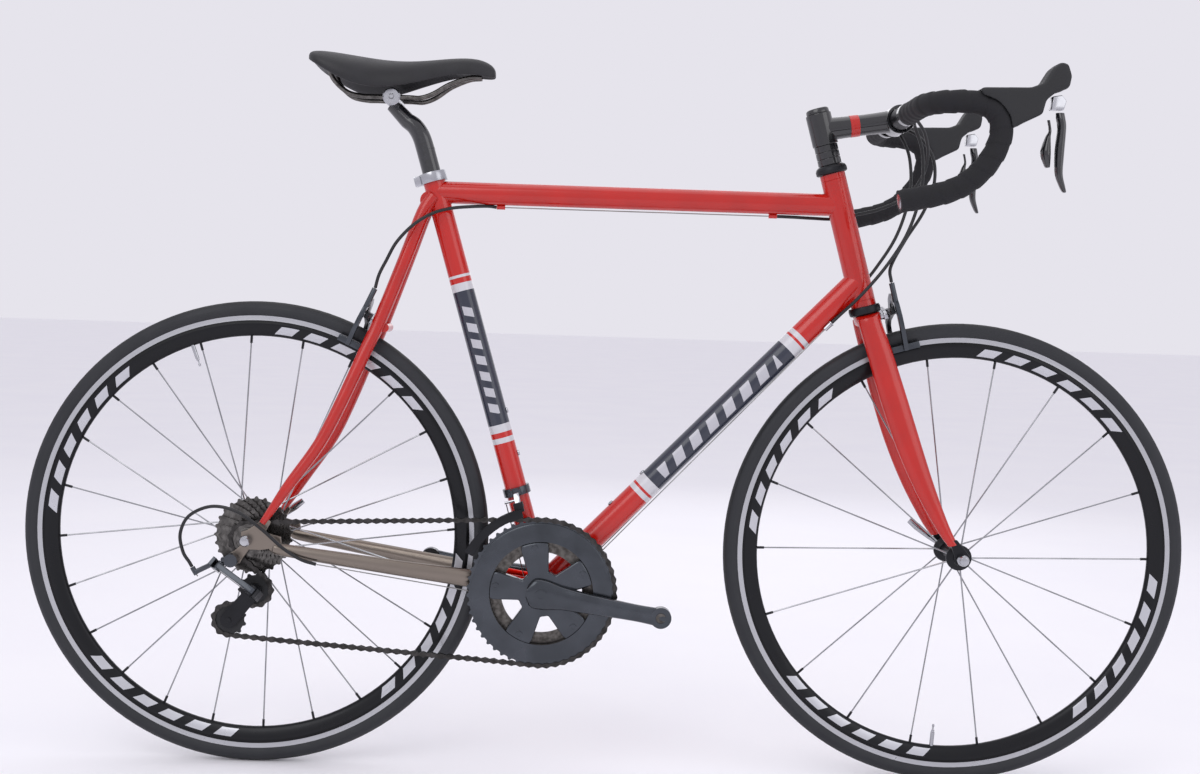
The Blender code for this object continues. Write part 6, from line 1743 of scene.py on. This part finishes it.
@dataclass
class Cables:
    """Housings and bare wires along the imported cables' routes.

    Attributes:
        housing: Radius of a housing.
        wire: Radius of a bare wire.
        level: Height of the rear brake's wire under the top tube.
        round_shell: Radius at which the shift wires pass round the bottom bracket.
    """

    housing: float = 2.4 * MM
    wire: float = 0.8 * MM
    level: float = TOP_TUBE_Z - 18.9 * MM
    round_shell: float = 22.5 * MM

    def bar(self, x: float, y: float, z: float) -> Vector:
        """A point given in millimetres from the handlebar clamp."""
        return BAR_CENTRE + Vector((x, y, z)) * MM

    def run(self, name: str, points: list, radius: float, node: str, body: str = "frame",
            bends: bool = False) -> None:
        """Makes one stretch of cable.

        Args:
            name: The piece's name.
            points: Its route.
            radius: Housing or wire radius.
            node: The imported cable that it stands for.
            body: The body that it rides on.
            bends: True if it crosses from the frame to the bar.
        """
        piece = pipe(name, points, radius, 14)
        finish = HOUSING if radius > 1 * MM else WIRE
        if not bends:
            dress(piece, finish, body, (node,))
            return
        piece.data.materials.append(finish.make())
        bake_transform(piece)
        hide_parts(node)
        LOG.info("%s from frame to bar", name)

    def build(self, front: Brake, rear: Brake) -> None:
        """Builds all four cables.

        Args:
            front: The front brake.
            rear: The rear brake.
        """
        self.front_brake(front)
        self.rear_brake(rear)
        self.rear_shift()
        self.front_shift()

    def front_brake(self, brake: Brake) -> None:
        """The front brake's housing, from the bar's left side down to its adjuster, and its bare wire.

        Args:
            brake: The front brake.
        """
        top, bottom = brake.wire_ends()
        above = top + (top - bottom).normalized() * 22 * MM
        points = smooth_path([self.bar(14.6, 61, -1.3), self.bar(17.8, 45, -4.2), (0.4400, 0.0280, 0.9400),
                              (0.4555, 0.0080, 0.9080), (0.4535, -0.0100, 0.8680), (0.4370, -0.0215, 0.8280),
                              (0.4120, -0.0270, 0.7880), above, top], 8)
        self.run("front_brake_housing", points, self.housing, "front_brake_cable", "steering")
        self.run("front_brake_wire", [top, bottom], self.wire, "front_brake_cable", "steering")

    def rear_brake(self, brake: Brake) -> None:
        """The rear brake's front housing, its wire under the top tube, and its housing down to the brake.

        Args:
            brake: The rear brake.
        """
        level = self.level
        points = smooth_path([self.bar(14.6, -61, -1.3), self.bar(17.8, -45, -4.2),
                              (0.4340, -0.0240, 0.9400), (0.4445, -0.0040, 0.9120),
                              (0.4400, 0.0100, 0.8800), (0.4200, 0.0195, 0.8530),
                              (0.3850, 0.0245, 0.8350), (0.3500, 0.0250, 0.8255),
                              (0.3180, 0.0235, level + 0.7 * MM), (0.2850, 0.0135, level),
                              (0.2580, 0.0035, level), (0.2400, 0, level), (0.2316, 0, level)], 8)
        self.run("rear_brake_front_housing", points[::-1], self.housing, "rear_brake_cable", bends=True)
        self.run("rear_brake_wire", [Vector((0.2312, 0, level)), Vector((-0.1724, 0, level))], self.wire,
                 "rear_brake_cable")
        top, bottom = brake.wire_ends()
        above = top + (top - bottom).normalized() * 20 * MM
        points = smooth_path([(-0.1728, 0, level), (-0.1850, -0.0020, 0.8185), (-0.2100, -0.0105, 0.8165),
                              (-0.2360, -0.0225, 0.8125), (-0.2620, -0.0290, 0.8040),
                              (-0.2880, -0.0315, 0.7870), (-0.3110, -0.0315, 0.7620),
                              (-0.3250, -0.0300, 0.7360), above, top], 8)
        self.run("rear_brake_back_housing", points, self.housing, "rear_brake_cable")
        self.run("rear_brake_anchor_wire", [top, bottom], self.wire, "rear_brake_cable")

    def shift_housing(self, side: int, name: str) -> list[Vector]:
        """A shift cable's housing from the bar to its stop under the down tube.

        Args:
            side: 1 for the left, -1 for the right.
            name: rear_shift or front_shift.

        Returns:
            The bare wire's first points: at the stop and round the bottom bracket.
        """
        stop = down_tube_stop(side) + DOWN_DIR * 7.6 * MM
        points = smooth_path([self.bar(10.3, 61 * side, -10.3), self.bar(15, 47 * side, -15),
                              (0.4280, 0.0400 * side, 0.9120), (0.4300, 0.0365 * side, 0.8600),
                              (0.4140, 0.0355 * side, 0.8000), (0.3850, 0.0350 * side, 0.7500),
                              (0.3520, 0.0300 * side, 0.7080), stop + DOWN_DIR * 18 * MM
                              + Y_AXIS * 1.5 * MM * side, stop], 8)
        self.run(name + "_housing", points[::-1], self.housing, name + "_cable", bends=True)
        return [stop] + [self.by_shell(angle, 15 * side, self.round_shell) for angle in (-43, -62, -81)]

    def by_shell(self, angle: float, y: float, radius: float) -> Vector:
        """A point round the bottom bracket, by its angle in degrees and its Y in millimetres."""
        x, z = polar(radius, angle)
        return BB + Vector((x, y * MM, z))

    def rear_shift(self) -> None:
        """The rear shift cable, with the loop of housing behind the chain stay."""
        start = self.shift_housing(-1, "rear_shift")
        out = Vector((-0.4080, -0.0690, 0.3045))
        away = (out - BB + Vector((4.1, 15, 22.4)) * MM).normalized()
        self.run("rear_shift_wire", [*start, out], self.wire, "rear_shift_cable")
        barrel, aim = Vector((-0.5810, -0.0620, 0.2890)), Vector((0.52, 0, -0.86)).normalized()
        points = smooth_path([out + away * 0.6 * MM, (-0.4300, -0.0735, 0.3120),
                              (-0.4550, -0.0785, 0.3290), (-0.4860, -0.0800, 0.3560),
                              (-0.5200, -0.0785, 0.3780), (-0.5560, -0.0740, 0.3830),
                              (-0.5880, -0.0690, 0.3680), (-0.6010, -0.0650, 0.3420),
                              (-0.5975, -0.0625, 0.3160), barrel - aim * 15 * MM, barrel
                              - aim * 6.5 * MM], 8)
        self.run("rear_shift_loop", points, self.housing, "rear_shift_cable")
        self.run("rear_shift_tail", [barrel - aim * 6.1 * MM, barrel + aim * 9 * MM],
                 self.wire, "rear_shift_cable")

    def front_shift(self) -> None:
        """The front shift cable, up from the bottom bracket to the front derailleur."""
        start = self.shift_housing(1, "front_shift")
        start += [self.by_shell(angle, y, 22.6 * MM) for angle, y in ((-115, 8), (-140, 6), (-165, 3.5))]
        clamp = on_seat(0.143, -17 * MM, -27 * MM) - Y_AXIS * 4.3 * MM - SEAT_DIR * 9.4 * MM
        self.run("front_shift_wire", [*start, clamp], self.wire, "front_shift_cable")


@dataclass(frozen=True)
class Lamp:
    """A soft square light that faces the bicycle.

    Attributes:
        name: The light's name.
        place: Where it stands.
        size: The length of its side.
        power: Its power in watts.
    """

    name: str
    place: tuple[float, float, float]
    size: float
    power: float

    def light(self) -> None:
        """Hangs the light."""
        light = bpy.data.lights.new(self.name, "AREA")
        light.size, light.energy = self.size, self.power
        lamp = bpy.data.objects.new(self.name, light)
        bpy.context.scene.collection.objects.link(lamp)
        lamp.location = self.place
        lamp.rotation_euler = (LIT_POINT - Vector(self.place)).to_track_quat("-Z", "Y").to_euler()


@dataclass
class Studio:
    """The plain floor, the pale surroundings, soft lights and the camera.

    Attributes:
        floor_size: The floor's side.
        backdrop: Hex colour of the surroundings.
        lamps: The lights.
        lens_mm: The camera's focal length.
        sensor_mm: The camera's sensor width.
        eye: Where the camera stands.
        yaw: How far it turns from facing +Y, in radians.
        dip: How far it looks down.
        roll: How far it is turned about its own view.
    """

    floor_size: float = 60
    backdrop: str = "e6e4ec"
    lamps: tuple[Lamp, ...] = (Lamp("key", (-1.6, -2.6, 2.8), 2.4, 30),
                               Lamp("fill", (2.4, -2.0, 1.8), 2.0, 12),
                               Lamp("top", (0.0, 0.4, 3.2), 2.6, 14), Lamp("back", (0.6, 2.6, 1.8), 2.0, 8))
    lens_mm: float = 42.7
    sensor_mm: float = 36.0
    eye: tuple[float, float, float] = (-0.0399, -2.0605, 0.6800)
    yaw: float = -0.01168
    dip: float = 0.05651
    roll: float = 0.03201

    def build(self) -> None:
        """Sets the studio up."""
        self.stage()
        for lamp in self.lamps:
            lamp.light()
        self.camera()

    def stage(self) -> None:
        """The floor and the surroundings."""
        deselect()
        bpy.ops.mesh.primitive_plane_add(size=self.floor_size, location=(0, 0, 0))
        floor = bpy.context.active_object
        floor.name = "floor"
        floor.data.materials.append(FLOOR_PAINT.make())
        world = bpy.data.worlds.new("studio")
        bpy.context.scene.world = world
        world.use_nodes = True
        background = world.node_tree.nodes["Background"]
        background.inputs["Color"].default_value = linear(self.backdrop)
        background.inputs["Strength"].default_value = 1.0
        bpy.context.scene.view_settings.view_transform = "Standard"

    def camera(self) -> None:
        """The camera, level with the top of the wheels and almost square to the bicycle."""
        camera = bpy.data.objects.new("camera", bpy.data.cameras.new("camera"))
        camera.data.lens = self.lens_mm
        camera.data.sensor_width = self.sensor_mm
        bpy.context.scene.collection.objects.link(camera)
        turn = (Matrix.Rotation(self.yaw, 4, "Z") @ Matrix.Rotation(math.pi / 2 - self.dip, 4, "X")
                @ Matrix.Rotation(self.roll, 4, "Z"))
        camera.matrix_world = Matrix.Translation(self.eye) @ turn
        bpy.context.scene.camera = camera


def main() -> None:
    """Builds the bicycle's sub-assemblies in order, then the stage."""
    logging.basicConfig(level=logging.INFO, format="%(message)s")
    Frameset().build()
    Cockpit().build()
    Saddle().build()
    Wheel("front", FRONT_HUB, -93.6, Lacing.RADIAL).build()
    Wheel("rear", REAR_HUB, 110.0, Lacing.CROSSED).build()
    Drivetrain().build()
    front = Brake("front", frame_matrix(on_head(0.3505), Y_AXIS, HEAD_DIR), 1, 24 * MM, "steering")
    rear = Brake("rear", frame_matrix(REAR_BRIDGE, Y_AXIS, Vector((0.43, 0, 0.903))), -1, 19 * MM, "frame")
    front.build()
    rear.build()
    Cables().build(front, rear)
    Studio().build()


if __name__ == "__main__":
    main()
